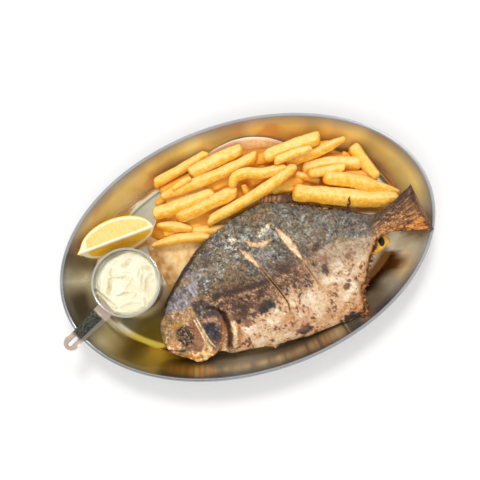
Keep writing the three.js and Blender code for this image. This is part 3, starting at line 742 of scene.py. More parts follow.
# Fries of the layer below, painted a deeper gold as shade in the gaps: line and breadth.
LOWER_FRIES = [
    ([(-62, 76, 11), (-12, 82, 13)], 10), ([(-36, 62, 11), (24, 68, 12)], 11),
    ([(-66, 54, 8), (-14, 50, 11)], 10), ([(-30, 42, 8), (30, 44, 10)], 11),
    ([(6, 76, 13), (62, 74, 16)], 11), ([(20, 56, 15), (74, 64, 17)], 11),
    ([(22, 40, 11), (70, 44, 13)], 11), ([(60, 70, 15), (106, 66, 15)], 10),
    ([(78, 60, 10), (122, 50, 10)], 10), ([(70, 32, 9), (118, 22, 10)], 11),
    ([(98, 40, 12), (138, 24, 12)], 10), ([(100, 16, 8), (140, 4, 10)], 10),
    ([(40, 30, 8), (86, 22, 9)], 10), ([(-48, 68, 7), (6, 60, 8)], 10),
    ([(112, 56, 12), (134, 34, 11)], 9), ([(-72, 38, 8), (-34, 36, 8)], 9),
    ([(30, 50, 14), (62, 38, 12)], 10), ([(-44, 79, 11), (0, 85, 15)], 10),
    ([(52, 77, 15), (84, 73, 15)], 10), ([(-70, 66, 7), (-40, 74, 10)], 9),
]


def potato_stick(length, width, height):
    """A bar with eased corners, in short steps so that it can bend."""
    bm = bmesh.new()
    bmesh.ops.create_cube(bm, size=1)
    scale_all(bm, (length, width, height))
    long_edges = [e for e in bm.edges if abs(e.verts[0].co.x - e.verts[1].co.x) > 1]
    bmesh.ops.subdivide_edges(bm, edges=long_edges, cuts=max(3, int(length / 5)), use_grid_fill=True)
    corners = [e for e in bm.edges if e.calc_face_angle(0) > 1]
    bmesh.ops.bevel(bm, geom=corners, offset=width * 0.33, offset_type="OFFSET", segments=3, profile=0.5,
                    affect="EDGES", material=-1)
    bmesh.ops.subdivide_edges(bm, edges=bm.edges, cuts=1, use_grid_fill=True)
    return bm


def one_fry(line, width, ends, roll, slant_in, slant_out, seed):
    """A cut potato stick: slanting ends, a slight bend and a crust that isn't quite even."""
    line = np.asarray(line, float)
    steps = np.hypot(*np.diff(line, axis=0)[:, :2].T)
    places = np.concatenate([[0], np.cumsum(steps)])
    length = places[-1]
    rng = np.random.default_rng(seed)
    turn = math.radians(roll)
    # The breadth given is what shows from above, so a rolled stick is the thinner.
    width = 1.06 * width / (math.cos(turn) + 0.85 * abs(math.sin(turn)))
    half = width / 2
    bm = potato_stick(length, width, width * rng.uniform(0.9, 1.0))
    x, y, z = points_of(bm).T
    keep(bm, "lengthwise", x * 0.1 + seed * 7.3)
    keep(bm, "crosswise", y * 0.9 + z * 0.7)
    t = x / length + 0.5
    near = np.minimum(t, 1 - t) * length
    corner = smooth(np.minimum(np.abs(y), np.abs(z)), half * 0.55, half * 0.85)
    browned = np.clip(corner * 0.7 + smooth(near, 3.5, 0.5) * 0.6, 0, 1)
    lumps = clouds(x + seed * 37, y * 1.3 + z * 1.7, 6, seed, 3)
    swell = 1 + 0.06 * lumps + 0.08 * clouds(x + 9, 0 * x + seed, 17, seed + 5, 2)
    taper = np.where(t < 0.5, ends[0], ends[1])
    reach = np.where(taper < 0.7, 0.45 * length, 14)
    taper = taper + (1 - taper) * smooth(near, -0.3 * reach, reach)
    y, z = y * swell * taper, z * swell * (taper * 0.8 + 0.2)
    sag = 1 + 0.02 * (1 - corner)
    y, z = y * np.where(np.abs(y) > np.abs(z), sag, 1), z * np.where(np.abs(z) >= np.abs(y), sag, 1)
    slant = slant_in * smooth(t, 0.25, 0) + slant_out * smooth(t, 0.75, 1)
    x = x + slant * (y / half) * 0.6
    x = x + rng.uniform(-1.5, 1.5) * (z / half) * smooth(np.abs(t - 0.5), 0.3, 0.5)
    y, z = y * math.cos(turn) - z * math.sin(turn), y * math.sin(turn) + z * math.cos(turn)
    bow = 1 - (2 * t - 1) ** 2
    y, z = y + rng.uniform(-0.9, 0.9) * bow, z + rng.uniform(-0.5, 0.5) * bow

    def on_line(at):
        if len(line) > 2:
            return np.c_[[through(np.clip(at, 0, length), places, line[:, k]) for k in range(3)]].T
        return np.c_[[np.interp(at, places, line[:, k]) for k in range(3)]].T

    along = np.clip(x + length / 2, 0.01, length - 0.01)
    over = x + length / 2 - along
    forward = unit(on_line(along + 1.5) - on_line(along - 1.5))
    side = unit(np.cross([0, 0, 1.0], forward))
    up = np.cross(forward, side)
    put(bm, on_line(along) + forward * over[:, None] + side * y[:, None] + up * z[:, None])
    return bm, browned, lumps


FRY_NUMBERS = ("brown", "tone", "deep", "burnt", "lengthwise", "crosswise")


def joined(numbers):
    """An empty shape that others are gathered in, with the numbers that each of them brings."""
    bm = bmesh.new()
    for name in numbers:
        bm.verts.layers.float.new(name)
    return bm


def gather(total, bm, **numbers):
    """Adds one shape to a joined one, with its stored numbers."""
    for name, value in numbers.items():
        keep(bm, name, value)
    mesh = mesh_of("one", bm)
    total.from_mesh(mesh)
    bpy.data.meshes.remove(mesh)


def fry_tone(bm, seed):
    """Painted light: pale on the faces turned up towards the light, deeper gold on the others, with some
    variation at random.
    """
    lean = normals_of(bm) @ np.array([-0.05, 0.62, 0.78])
    x, y = points_of(bm).T[:2]
    return np.clip(smooth(lean, 0.25, 0.95) + 0.15 * clouds(x + seed * 11, y, 9, seed + 70, 2), 0, 1)


def make_fries(material):
    heap = joined(FRY_NUMBERS)
    for number, fry in enumerate(FRIES):
        bm, browned, lumps = one_fry(*fry, number + 1)
        tone = fry_tone(bm, number)
        # Painted shade: a deeper gold on faces turned from the light.
        deep = 0.5 * np.clip(0.5 - tone, 0, 1) * smooth(lumps, -0.5, 0.8)
        gather(heap, bm, brown=browned, tone=tone, deep=deep)
    # The fries below get less painted light and more painted shade.
    for number, (line, width) in enumerate(LOWER_FRIES):
        roll = number * 7 % 11 - 5
        bm, browned, _ = one_fry(line, width, (0.95, 0.95), roll, 0, 0, number + 50)
        gather(heap, bm, brown=browned, tone=fry_tone(bm, number + 40) * 0.5, deep=0.6)
    piece("fries_heap", heap, material, "fries")


# The low mound that the fries lie on: middle along and across, half breadth, height.
MOUND = [(-84, 40, 6, 8), (-58, 56, 29, 13), (-15, 62, 31, 15.5), (35, 58, 27, 17), (82, 46, 25, 14),
         (118, 30, 19, 11), (140, 6, 8, 8)]


def make_core(material):
    bm, s, w = sheet_of(60, 36)
    place = np.linspace(0, 1, len(MOUND))
    cx, cy, half, top = [through(s, place, values) for values in zip(*MOUND)]
    cap = np.sqrt(np.clip(1 - (np.abs(s * 2 - 1)) ** 6, 0, 1))
    angle = w * math.tau
    x, y = cx + half * 0.35 * np.cos(angle) * cap, cy + half * np.cos(angle) * cap
    bulge = (top - DISH_SHEET) * (0.5 + 0.5 * np.sin(angle)) + 0.8 * clouds(x, y, 8, 71, 2)
    z = DISH_SHEET + bulge * cap
    put(bm, np.c_[x, y, np.maximum(z, dish_height(x, y) + 3.2)])
    close_up(bm, 1e-2)
    piece("fries_core", bm, material, "fries")


def make_loose_fry(material):
    """The end of a fry, with a black glossy blister near its upper corner."""
    bm, browned, _ = one_fry([(106, -41, 8), (127, -34, 12)], 10.5, (1, 1), 3, 0, 0, 90)
    whole = joined(FRY_NUMBERS)
    # The loose fry gets a middling painted light and painted shade.
    gather(whole, bm, brown=browned, tone=0.35, deep=0.35)
    bm = bmesh.new()
    bmesh.ops.create_uvsphere(bm, u_segments=28, v_segments=18, radius=1)
    scale_all(bm, (2.9, 4.6, 1.9))
    x, y, z = points_of(bm).T
    put(bm, np.c_[x, y, z] * (1 + 0.05 * clouds(x * 2, y * 2 + z, 2.5, 95, 2))[:, None])
    turn_all(bm, -14)
    move_all(bm, (119.3, -35.6, 15.4))
    gather(whole, bm, burnt=1)
    piece("loose_fry_end", whole, material, "loose_fry")


# ---------------------------------------------------------------- fish

# Along the body: place, back edge, belly edge, upper half thickness, rise of the middle above its height.
BODY = np.array([
    [-25.5, -3, -14, 4.5, -2], [-22, 5, -20, 8, -1.5], [-16, 15, -25.5, 10.5, -1], [-9, 23, -32, 12, 0],
    [-3, 28.5, -37.5, 13, 0], [5, 35, -38.2, 13.8, 0], [12, 40, -37.3, 14.4, 0], [19, 45, -36, 15, 0],
    [26, 49, -42.5, 15.5, 0], [37, 55.5, -45.5, 16.3, 0], [50, 60.5, -49, 17, 0], [65, 64.5, -53.5, 17.2, 0],
    [80, 67, -56, 17.2, 0], [97, 69.2, -59.3, 17, 0], [113, 69, -60.8, 16.5, 0], [126, 63.5, -61.6, 15.8, 0],
    [138, 56, -63.2, 14.6, 0], [148, 50.3, -62.4, 13.4, 0], [154.5, 46, -60, 12.6, 0],
    [158, 43.6, -44.5, 12, 0.4], [166, 38.3, -38.5, 11, 1], [174, 32.8, -27.5, 9.8, 2],
    [182, 27.5, -18, 8.4, 3.4],
    [190, 20.5, -9.8, 7, 5.2], [198, 15, -7.2, 5.6, 7.6], [206, 14, -7.5, 4.2, 10.2],
    [213, 15.8, -10, 2.8, 12.6], [224, 18.9, -14.5, 1.6, 16.2], [233, 21.8, -18.5, 1.3, 18.9],
    [239, 24, -21.8, 1.2, 20.6]])
# The lower edge of the slate grey back, and of the brown band below it.
SKIN_LINE = [(-26, 6), (-13, 11.4), (-5, 9.5), (7.6, 11.3), (19.5, 15.6), (30, 12.5), (43, 10.3), (60, 7.4),
             (75, 5.2), (90, 3.8), (105, 2.4), (118, 4.3), (131, 6.1), (143, 8.7), (155, 8.9), (168, 5),
             (179, -0.5), (191, -4.4), (240, -14)]
BAND_LINE = [(-26, 2), (22, -1), (38, -7), (54, -13), (66, -16), (76, -15), (84, -10), (96, -12),
             (110, -13.6), (123, -11.8), (134, -9.3), (150, 4), (170, 5), (240, -14)]
GILL_COVER = [(17, -45), (23, -33), (29.5, -25), (33.5, -16), (34.6, -8), (32, 2), (24, 12), (12, 14), (3, 6),
              (-1, -10), (0, -28), (4, -45)]
CLEFT = [(24, 3.5), (29, 1.4), (33.6, -3), (36, -9), (36, -19.1), (33.8, -27.9), (29.2, -37)]
CUT_ONE = [(112.1, 40.8), (115.9, 27.8), (118.4, 16.4), (120.4, 6.5)]
CUT_ONE_TAIL = [(120.4, 6.5), (121.6, -3), (123.4, -13.9), (125.6, -24)]
CUT_TWO = [(74.1, 37.6), (78.4, 27.5), (82.8, 16.5)]
CUT_TWO_TAIL = [(82.8, 16.5), (86.8, 1.3), (90.3, -12.3), (92.4, -24.3), (90.2, -35.1)]
CUT_THREE = [(81.4, 43.5), (86, 37), (94.2, 33.1), (103, 33.6)]
BONES = [[(9.9, -1.7), (10.4, -12.7), (11.0, -23.5), (12, -30)],
         [(12.6, -1.5), (13.2, -13), (14.6, -25), (16.5, -31)]]
CHEEK = [(4.6, -1.1), (9.4, -2.0), (9.9, -13.5), (8.4, -25), (3.4, -30), (-3.5, -26), (1.0, -17), (3.0, -8.4)]
EYE_NET = [(-10, -3), (-1.4, -1.5), (4.5, -5.5), (3.6, -13), (0, -20), (-6.9, -20), (-11, -11.4)]
FOREHEAD = [(-16, 11), (-13, 17.5), (-6, 25), (6, 34), (18, 40), (27, 40), (24, 22), (18, 12), (7, 1.7),
            (-1.4, -0.8), (-9.2, 5.5), (-16, 8)]
TORN_EDGE = [(140, -63.2), (148, -62.4), (154.5, -60), (156.5, -52), (158.6, -44), (166, -38.5), (174, -27.5),
             (182, -18), (190, -9.8), (197, -7)]
CRUSTY_EDGE = [(190, 20.5), (182, 27.5), (174, 32.8), (166, 38.3), (158, 43.6), (148, 50.3), (138, 56),
               (126, 63.5)]
# Burnt, browned and other patches, one of them a painted sheen: middle, half length, half breadth, turn in
# degrees, colour, strength.
PATCHES = [
    (66, -17, 5, 6, 0, (78, 48, 32), 0.6), (74.5, -18.6, 8.8, 5.6, 4, (36, 34, 33), 1.0),
    (95.5, -51.6, 7.5, 4.2, 4, (48, 38, 34), 0.9), (95, -46, 11, 6, 0, (186, 122, 86), 0.4),
    (137.5, -60, 7.5, 3.4, 8, (30, 25, 23), 1.0), (145, -62, 4.5, 3, 10, (34, 27, 24), 0.9),
    (106.2, -22.9, 2.6, 2.4, 0, (74, 50, 38), 0.85), (73.6, -5.0, 5.5, 3.6, 10, (64, 42, 32), 0.85),
    (84.1, -1.0, 4, 2.6, 0, (84, 62, 50), 0.7), (99.8, 7.4, 4.5, 3.5, 0, (74, 52, 38), 0.7),
    (110.4, 9, 3.4, 2.6, 0, (90, 62, 44), 0.6), (136.5, 9.6, 6.5, 3.6, 20, (66, 38, 24), 0.85),
    (135.8, -11.5, 3.4, 6.0, 8, (62, 44, 36), 0.9), (147.5, -33.4, 4.6, 3.4, 0, (96, 62, 42), 0.8),
    (151, -30, 2.6, 2, 0, (70, 46, 34), 0.8), (139.5, -2.4, 5, 3, 0, (120, 82, 58), 0.6),
    (113.4, -6.3, 3.2, 2.4, 0, (120, 84, 60), 0.6), (160, -9.5, 3, 2.4, 0, (116, 80, 52), 0.6),
    (156, -22, 3.2, 2.6, 0, (120, 88, 62), 0.5), (41, -13.5, 5, 4.5, 0, (88, 56, 38), 0.7),
    (50, -16.5, 6.5, 5, 12, (64, 40, 28), 0.8), (57.6, -11.6, 6, 4, 0, (60, 40, 30), 0.75),
    (52, -24, 5, 4, 0, (104, 64, 42), 0.7), (46, -20, 3, 2.4, 0, (30, 26, 26), 0.8),
    (60, -20, 3.4, 2.6, 0, (34, 30, 30), 0.7), (48.2, -8.1, 4.5, 2.6, 0, (50, 38, 32), 0.6),
    (87, -37, 8, 4, 0, (200, 136, 84), 0.5), (120, -38, 7, 5, 0, (236, 214, 180), 0.6),
    (118, -52, 9, 4, 4, (196, 142, 96), 0.45), (150, -48, 6, 6, 0, (208, 164, 122), 0.5),
    (144, 20, 9, 5, 0, (112, 96, 74), 0.4), (176, 14, 7, 7, 0, (88, 78, 66), 0.45),
    # The pale grey patch at 28 along and 31 across is a painted sheen.
    (58, 20, 14, 7, 10, (108, 84, 54), 0.5), (28, 31, 11, 7, 30, (160, 160, 166), 0.4),
    (104, 57, 15, 6, 0, (124, 100, 62), 0.4), (90, 22, 10, 7, 0, (136, 136, 140), 0.4),
    (152, 28, 14, 6, 0, (134, 132, 132), 0.35), (40, 44, 12, 4, 32, (66, 70, 78), 0.5),
    (72, 47, 4.5, 3.0, -30, (208, 200, 184), 0.95), (81.5, 46, 4.6, 3.6, 20, (172, 182, 178), 0.9),
    (101, 43.5, 9, 2.6, 24, (206, 198, 174), 0.9), (108.5, 47, 2, 1.5, 0, (206, 170, 70), 0.6),
    (103.6, 4.5, 5, 4, 0, (58, 42, 34), 0.7), (146, -14, 7, 5, 0, (238, 222, 198), 0.6),
    (112, -30, 10, 7, -20, (240, 222, 198), 0.6), (58, -34, 9, 4, 0, (232, 210, 182), 0.5),
]


CHARRED = 130  # a patch is charred where the parts of its colour add up to less


def fish_place(u, v):
    """From the fish's own plan, u along it and v across, to the dish."""
    c, s = math.cos(FISH_TURN), math.sin(FISH_TURN)
    return FISH_AT[0] + u * c - v * s, FISH_AT[1] + u * s + v * c


def inside(u, v, outline):
    """Distance from a closed outline, above 0 within it and below 0 outside."""
    corners = np.asarray(outline, float)
    found = np.zeros(np.shape(u), bool)
    for (ax, ay), (bx, by) in zip(corners, np.roll(corners, -1, axis=0)):
        crosses = ((ay > v) != (by > v))
        found ^= crosses & (u < (bx - ax) * (v - ay) / ((by - ay) or 1e-9) + ax)
    away = away_from(u, v, np.vstack([corners, corners[:1]]))
    return np.where(found, away, -away)


def dab(u, v, place, rough):
    """1 in the middle of an oval patch with an uneven edge, 0 outside it."""
    at_u, at_v, long, broad, turn = place
    t = math.radians(turn)
    du, dv = u - at_u, v - at_v
    d = np.hypot((du * math.cos(t) + dv * math.sin(t)) / long, (dv * math.cos(t) - du * math.sin(t)) / broad)
    return smooth(d + 0.42 * rough, 1.1, 0.65)


def tail_spread(u, v):
    """How far a point is from the tail's middle line, with its edges at about -1 and 1."""
    return (v + 1.5) / np.maximum(5, 9 + (u - 200) * 0.36)


def crowding(u, v):
    """Where the skin's browned specks lie close together."""
    lumps = 0.5 * clouds(u, v, 10, 65, 3) - 0.8 * clouds(u, v, 9, 53, 3)
    return smooth(lumps + 0.4 * smooth(u, 80, 55), -0.2, 0.5)


def skin_kinds(u, v):
    """What the body's skin is at each point, as shares from 0 to 1, and its fine unevenness."""
    rough = clouds(u, v, 2.6, 41, 3)
    back = v - through(u, *np.array(SKIN_LINE).T) + 3.4 * clouds(u, v, 8, 44, 4)
    band = v - through(u, *np.array(BAND_LINE).T) + 5.0 * clouds(u, v, 7, 45, 4)
    band = smooth(band + 2 * rough, -12, 6) * smooth(u, 142, 112) * smooth(u, 16, 30)
    m = {"rough": rough, "fine": clouds(u, v, 1.3, 42, 2), "slate": smooth(back, -3.5, 3.5),
         "band": band * (1 - smooth(back, 3, 11)), "tail": smooth(u + 0.25 * v + 3 * rough, 184, 200),
         "char": 0 * u}
    for *place, tint, strength in PATCHES:
        if sum(tint) < CHARRED:
            m["char"] = np.maximum(m["char"], strength * dab(u, v, place, rough))
    return m


def skin_relief(u, v, m):
    """Lumps, and the folds and wrinkles of drawn skin."""
    broad = clouds(u, v, 14, 43, 2)
    coarse = 0.35 + 0.65 * np.maximum(m["slate"], m["band"])
    relief = 0.35 * broad + (0.30 * m["rough"] + 0.10 * m["fine"]) * coarse
    relief = relief + m["char"] * (0.3 + 0.7 * m["rough"])
    # Sharp-edged folds near the back, lighter ones along the flank.
    fold = 1 - 2.2 * np.abs(clouds(u * 0.5 + v * 0.9, v * 0.35 - u * 0.75, 6.5, 46, 3))
    near_back = smooth(v, 14, 42) * smooth(u, 45, 75) * smooth(u, 178, 150)
    relief = relief + (0.2 + 0.6 * near_back) * np.maximum(0, fold) * smooth(u, 26, 40)
    # Two sets of fine wrinkles cross each other on the back.
    # crest and trough also mark where the wrinkles' painted highlight and painted shade go.
    m["crest"], m["trough"] = 0 * u, 0 * u
    for turn, size, seed in ((0.45, 6.5, 62), (0.95, 5.0, 63)):
        ahead = u * math.cos(turn) + v * math.sin(turn)
        across = v * math.cos(turn) - u * math.sin(turn) + 1.6 * broad
        here = np.abs(clouds(ahead * 0.34, across, size, seed, 2))
        below = np.abs(clouds((ahead - 0.5) * 0.34, across + 1.0, size, seed, 2))
        m["crest"] = np.maximum(m["crest"], smooth(here, 0.14, 0.02))
        m["trough"] = np.maximum(m["trough"], smooth(below, 0.16, 0.03))
    relief = relief + 0.7 * m["crest"] * m["slate"] * smooth(u, 30, 48) * smooth(u, 196, 180)
    crease = 1 - 2.4 * np.abs(clouds(u * 0.55 + 4, v * 1.5, 5, 47, 3))
    relief = relief + 0.35 * np.maximum(0, crease) * smooth(u, 30, 45) * coarse
    pucker = 1 - 2.4 * np.abs(clouds(u * 1.2, v * 0.45, 4.2, 49, 2))
    return relief + 0.5 * np.maximum(0, pucker) * smooth(v, 2, 14) * smooth(u, 70, 30)


def head_relief(u, v, m):
    """The gill cover and the gap behind it, cheek, bones, eye, lips, jaw and shoulder."""
    rough = m["rough"]
    m["cover"] = inside(u, v, GILL_COVER)
    relief = 1.2 * smooth(m["cover"], -0.3, 0.7)
    away, t = from_line(u, v, CLEFT)
    m["cleft"] = smooth(away + 0.3 * rough, 1.5 + 1.2 * t.clip(0.2, 1), 0.4)
    m["groove"] = smooth(away_from(u, v, [(35.5, -8), (36.4, -18), (34.4, -27), (29.5, -36)]), 4.6, 1.8)
    m["cheek"] = smooth(inside(u, v, CHEEK) + 0.4 * rough, -0.8, 0.8)
    relief = relief - 2.4 * m["cleft"] - 1.2 * m["groove"] - 1.0 * m["cheek"]
    m["bone"] = np.maximum(*[smooth(away_from(u, v, bone), 0.85, 0.2) for bone in BONES])
    relief = relief + 1.0 * m["bone"]
    m["eye"] = smooth(inside(u, v, EYE_NET) + 1.2 * rough, -1.0, 1.2)
    m["net_noise"] = clouds(u, v, 2.4, 48, 2)
    m["net"] = m["eye"] * np.maximum(0, 1 - 4.2 * np.abs(m["net_noise"]))
    socket = np.hypot((u + 2.6) / 4.6, (v + 12.0) / 4.2)
    relief = relief - 0.9 * m["eye"] - 1.6 * smooth(socket, 1.1, 0.4) + 1.0 * m["net"]
    m["lump"] = np.maximum(0, 1 - 2.0 * np.abs(clouds(u, v, 5.0, 50, 2)))
    m["lips"] = smooth(np.hypot((u + 18.5) / 8.5, (v + 16) / 5.2) + 0.3 * rough, 1.15, 0.8)
    away = away_from(u, v, [(-27, -14.5), (-21, -17.4), (-15, -21), (-10, -23)])
    m["mouth"] = smooth(away + 0.35 * rough, 1.0, 0.2)
    m["jaw"] = smooth(v + 0.12 * u + 1.5 * rough, -24.5, -29) * smooth(u, 27, 22)
    relief = relief - 1.3 * m["mouth"] + (0.9 * m["lips"] + 0.8 * m["jaw"]) * m["lump"]
    away = away_from(u, v, [(40.5, -11), (39.6, -20.7), (37.4, -29.5), (33.5, -37.5)])
    m["shoulder"] = smooth(away + 0.8 * rough, 3.4, 1.0)
    return relief + 1.1 * m["shoulder"]


def cut_relief(u, v, m):
    """Cuts, where the skin has drawn back from pale flesh, and the tight slits that go on from them."""
    relief, m["flesh"], m["edge"], m["slit"] = 0 * u, 0 * u, 0 * u, 0 * u
    for line, wide in ((CUT_ONE, 2.9), (CUT_TWO, 1.7), (CUT_THREE, 1.6)):
        away, t = from_line(u, v, line)
        reach = wide * np.clip(np.sin(np.clip(t, 0.02, 0.98) * math.pi), 0.1, 1) ** 0.7 + 0.35 * m["rough"]
        opened = smooth(away, reach + 0.35, reach - 0.35)
        m["flesh"] = np.maximum(m["flesh"], opened)
        m["edge"] = np.maximum(m["edge"], smooth(np.abs(away - reach - 0.3), 0.8, 0.1))
        relief = relief - 1.0 * opened + 0.9 * smooth(away, reach, 0) * opened
        relief = relief + 0.5 * smooth(np.abs(away - reach - 0.8), 1.0, 0.2)
    for line, deep, dark in ((CUT_TWO_TAIL, 1.2, 1.0), (CUT_ONE_TAIL, 0.8, 0.35)):
        away, t = from_line(u, v, line)
        dark = dark * smooth(t, 0.05, 0.3) * smooth(t, 1.0, 0.85)
        m["edge"] = np.maximum(m["edge"], smooth(np.abs(away - 1.1), 0.8, 0.1) * 0.9)
        m["slit"] = np.maximum(m["slit"], dark * smooth(away, 0.8, 0.2))
        relief = relief - deep * smooth(away, 0.9, 0.1) + 0.5 * smooth(np.abs(away - 1.3), 0.8, 0.1)
    return relief


def fish_surface(u, v):
    """How far the skin stands out or sinks at each point, and what it is there."""
    m = skin_kinds(u, v)
    relief = skin_relief(u, v, m) + head_relief(u, v, m) + cut_relief(u, v, m)
    rays, on_tail = np.sin(tail_spread(u, v) * 64 + 1.3 * m["rough"]), smooth(u, 198, 210)
    m["rays"] = on_tail * (0.5 + 0.5 * rays)
    return relief * (1 - 0.6 * smooth(u, 205, 225)) + 0.25 * on_tail * rays, m


def lay(base, *layers):
    """Lays colours over others; each layer is a colour and the share of it at each point."""
    for colour, share in layers:
        share = np.clip(share, 0, 1)[:, None]
        base = np.asarray(base, float) * (1 - share) + np.asarray(colour, float) * share
    return base


def slate_skin(u, v, m, mottle, speck, blotch):
    """The back: slate grey, speckled with browned gold and near black, with painted glints."""
    patchy = clouds(u, v, 5.5, 68, 2)
    calm = 1 - 0.45 * smooth(u, 80, 120)
    glints = smooth(clouds(u, v * 1.6, 1.9, 69, 2) + 0.3 * blotch, 0.68, 0.9)
    browned = smooth(v - through(u, *np.array(SKIN_LINE).T), 16, 3) * smooth(u, 28, 45)
    forehead = smooth(inside(u, v, FOREHEAD) + 1.5 * m["rough"], -1.5, 1.5)
    streaks = clouds(u * 1.6 + v * 0.2, v * 0.35, 4.0, 60, 2)
    crown = smooth(np.hypot((u - 14) / 12, (v - 33) / 4) + 0.4 * mottle, 1.1, 0.5)
    rim = v - through(u, BODY[:, 0], BODY[:, 1])
    shaded = smooth(rim + 2.5 * blotch, -16, -2) * smooth(u, 60, 100) * smooth(u, 196, 180)
    crusty = smooth(rim + 1.2 * mottle, -3.6, -1.2) * smooth(u, 112, 125) * smooth(u, 194, 184)
    return lay(
        (122, 112, 93),
        # Broad patches of grey and buff, then smaller dark and light ones.
        ((94, 95, 96), smooth(blotch, 0.0, 0.8) * 0.75),
        ((146, 130, 96), smooth(-blotch, 0.1, 0.9) * 0.5),
        ((72, 69, 66), smooth(patchy + 0.3 * mottle, 0.1, 0.8) * 0.75),
        ((160, 160, 156), smooth(-patchy - 0.3 * mottle, 0.2, 0.9) * 0.65),
        # Fine wrinkles: painted highlights along their crests, painted shade beside them.
        ((44, 41, 38), m["trough"] * (0.45 + 0.3 * mottle)),
        ((188, 186, 182), m["crest"] * smooth(speck + 0.6 * blotch, -0.5, 0.6) * 0.62 * calm),
        # Brown and near black specks, and painted glints.
        ((120, 86, 44), smooth(clouds(u, v, 3.6, 57, 3) + 0.4 * blotch, 0.45, 0.9) * 0.7),
        ((34, 32, 30), smooth(clouds(u, v, 2.2, 58, 2) - 0.2 * blotch, 0.5, 0.75) * 0.8),
        ((206, 206, 204), glints * 0.75 * calm),
        # Browned towards the belly.
        ((88, 62, 42), browned * smooth(u, 150, 120) * (0.55 + 0.3 * mottle)),
        # Forehead and crown.
        ((142, 134, 138), forehead * (0.75 - 0.3 * mottle)),
        ((96, 88, 90), forehead * smooth(mottle, 0.2, 0.7) * 0.8),
        ((196, 192, 200), forehead * smooth(streaks, 0.25, 0.8) * 0.75),
        ((150, 112, 64), crown * 0.6),
        # The rim of the back: shaded, scorched at the neck, crusty towards the tail.
        ((70, 68, 66), shaded * 0.5),
        ((38, 34, 30), smooth(rim + 0.8 * mottle, -6.5, -3.0) * smooth(u, 66, 40) * 0.9),
        ((44, 33, 24), crusty * 0.85),
        ((200, 144, 62), crusty * smooth(speck, 0.0, 0.35) * 0.85),
    )


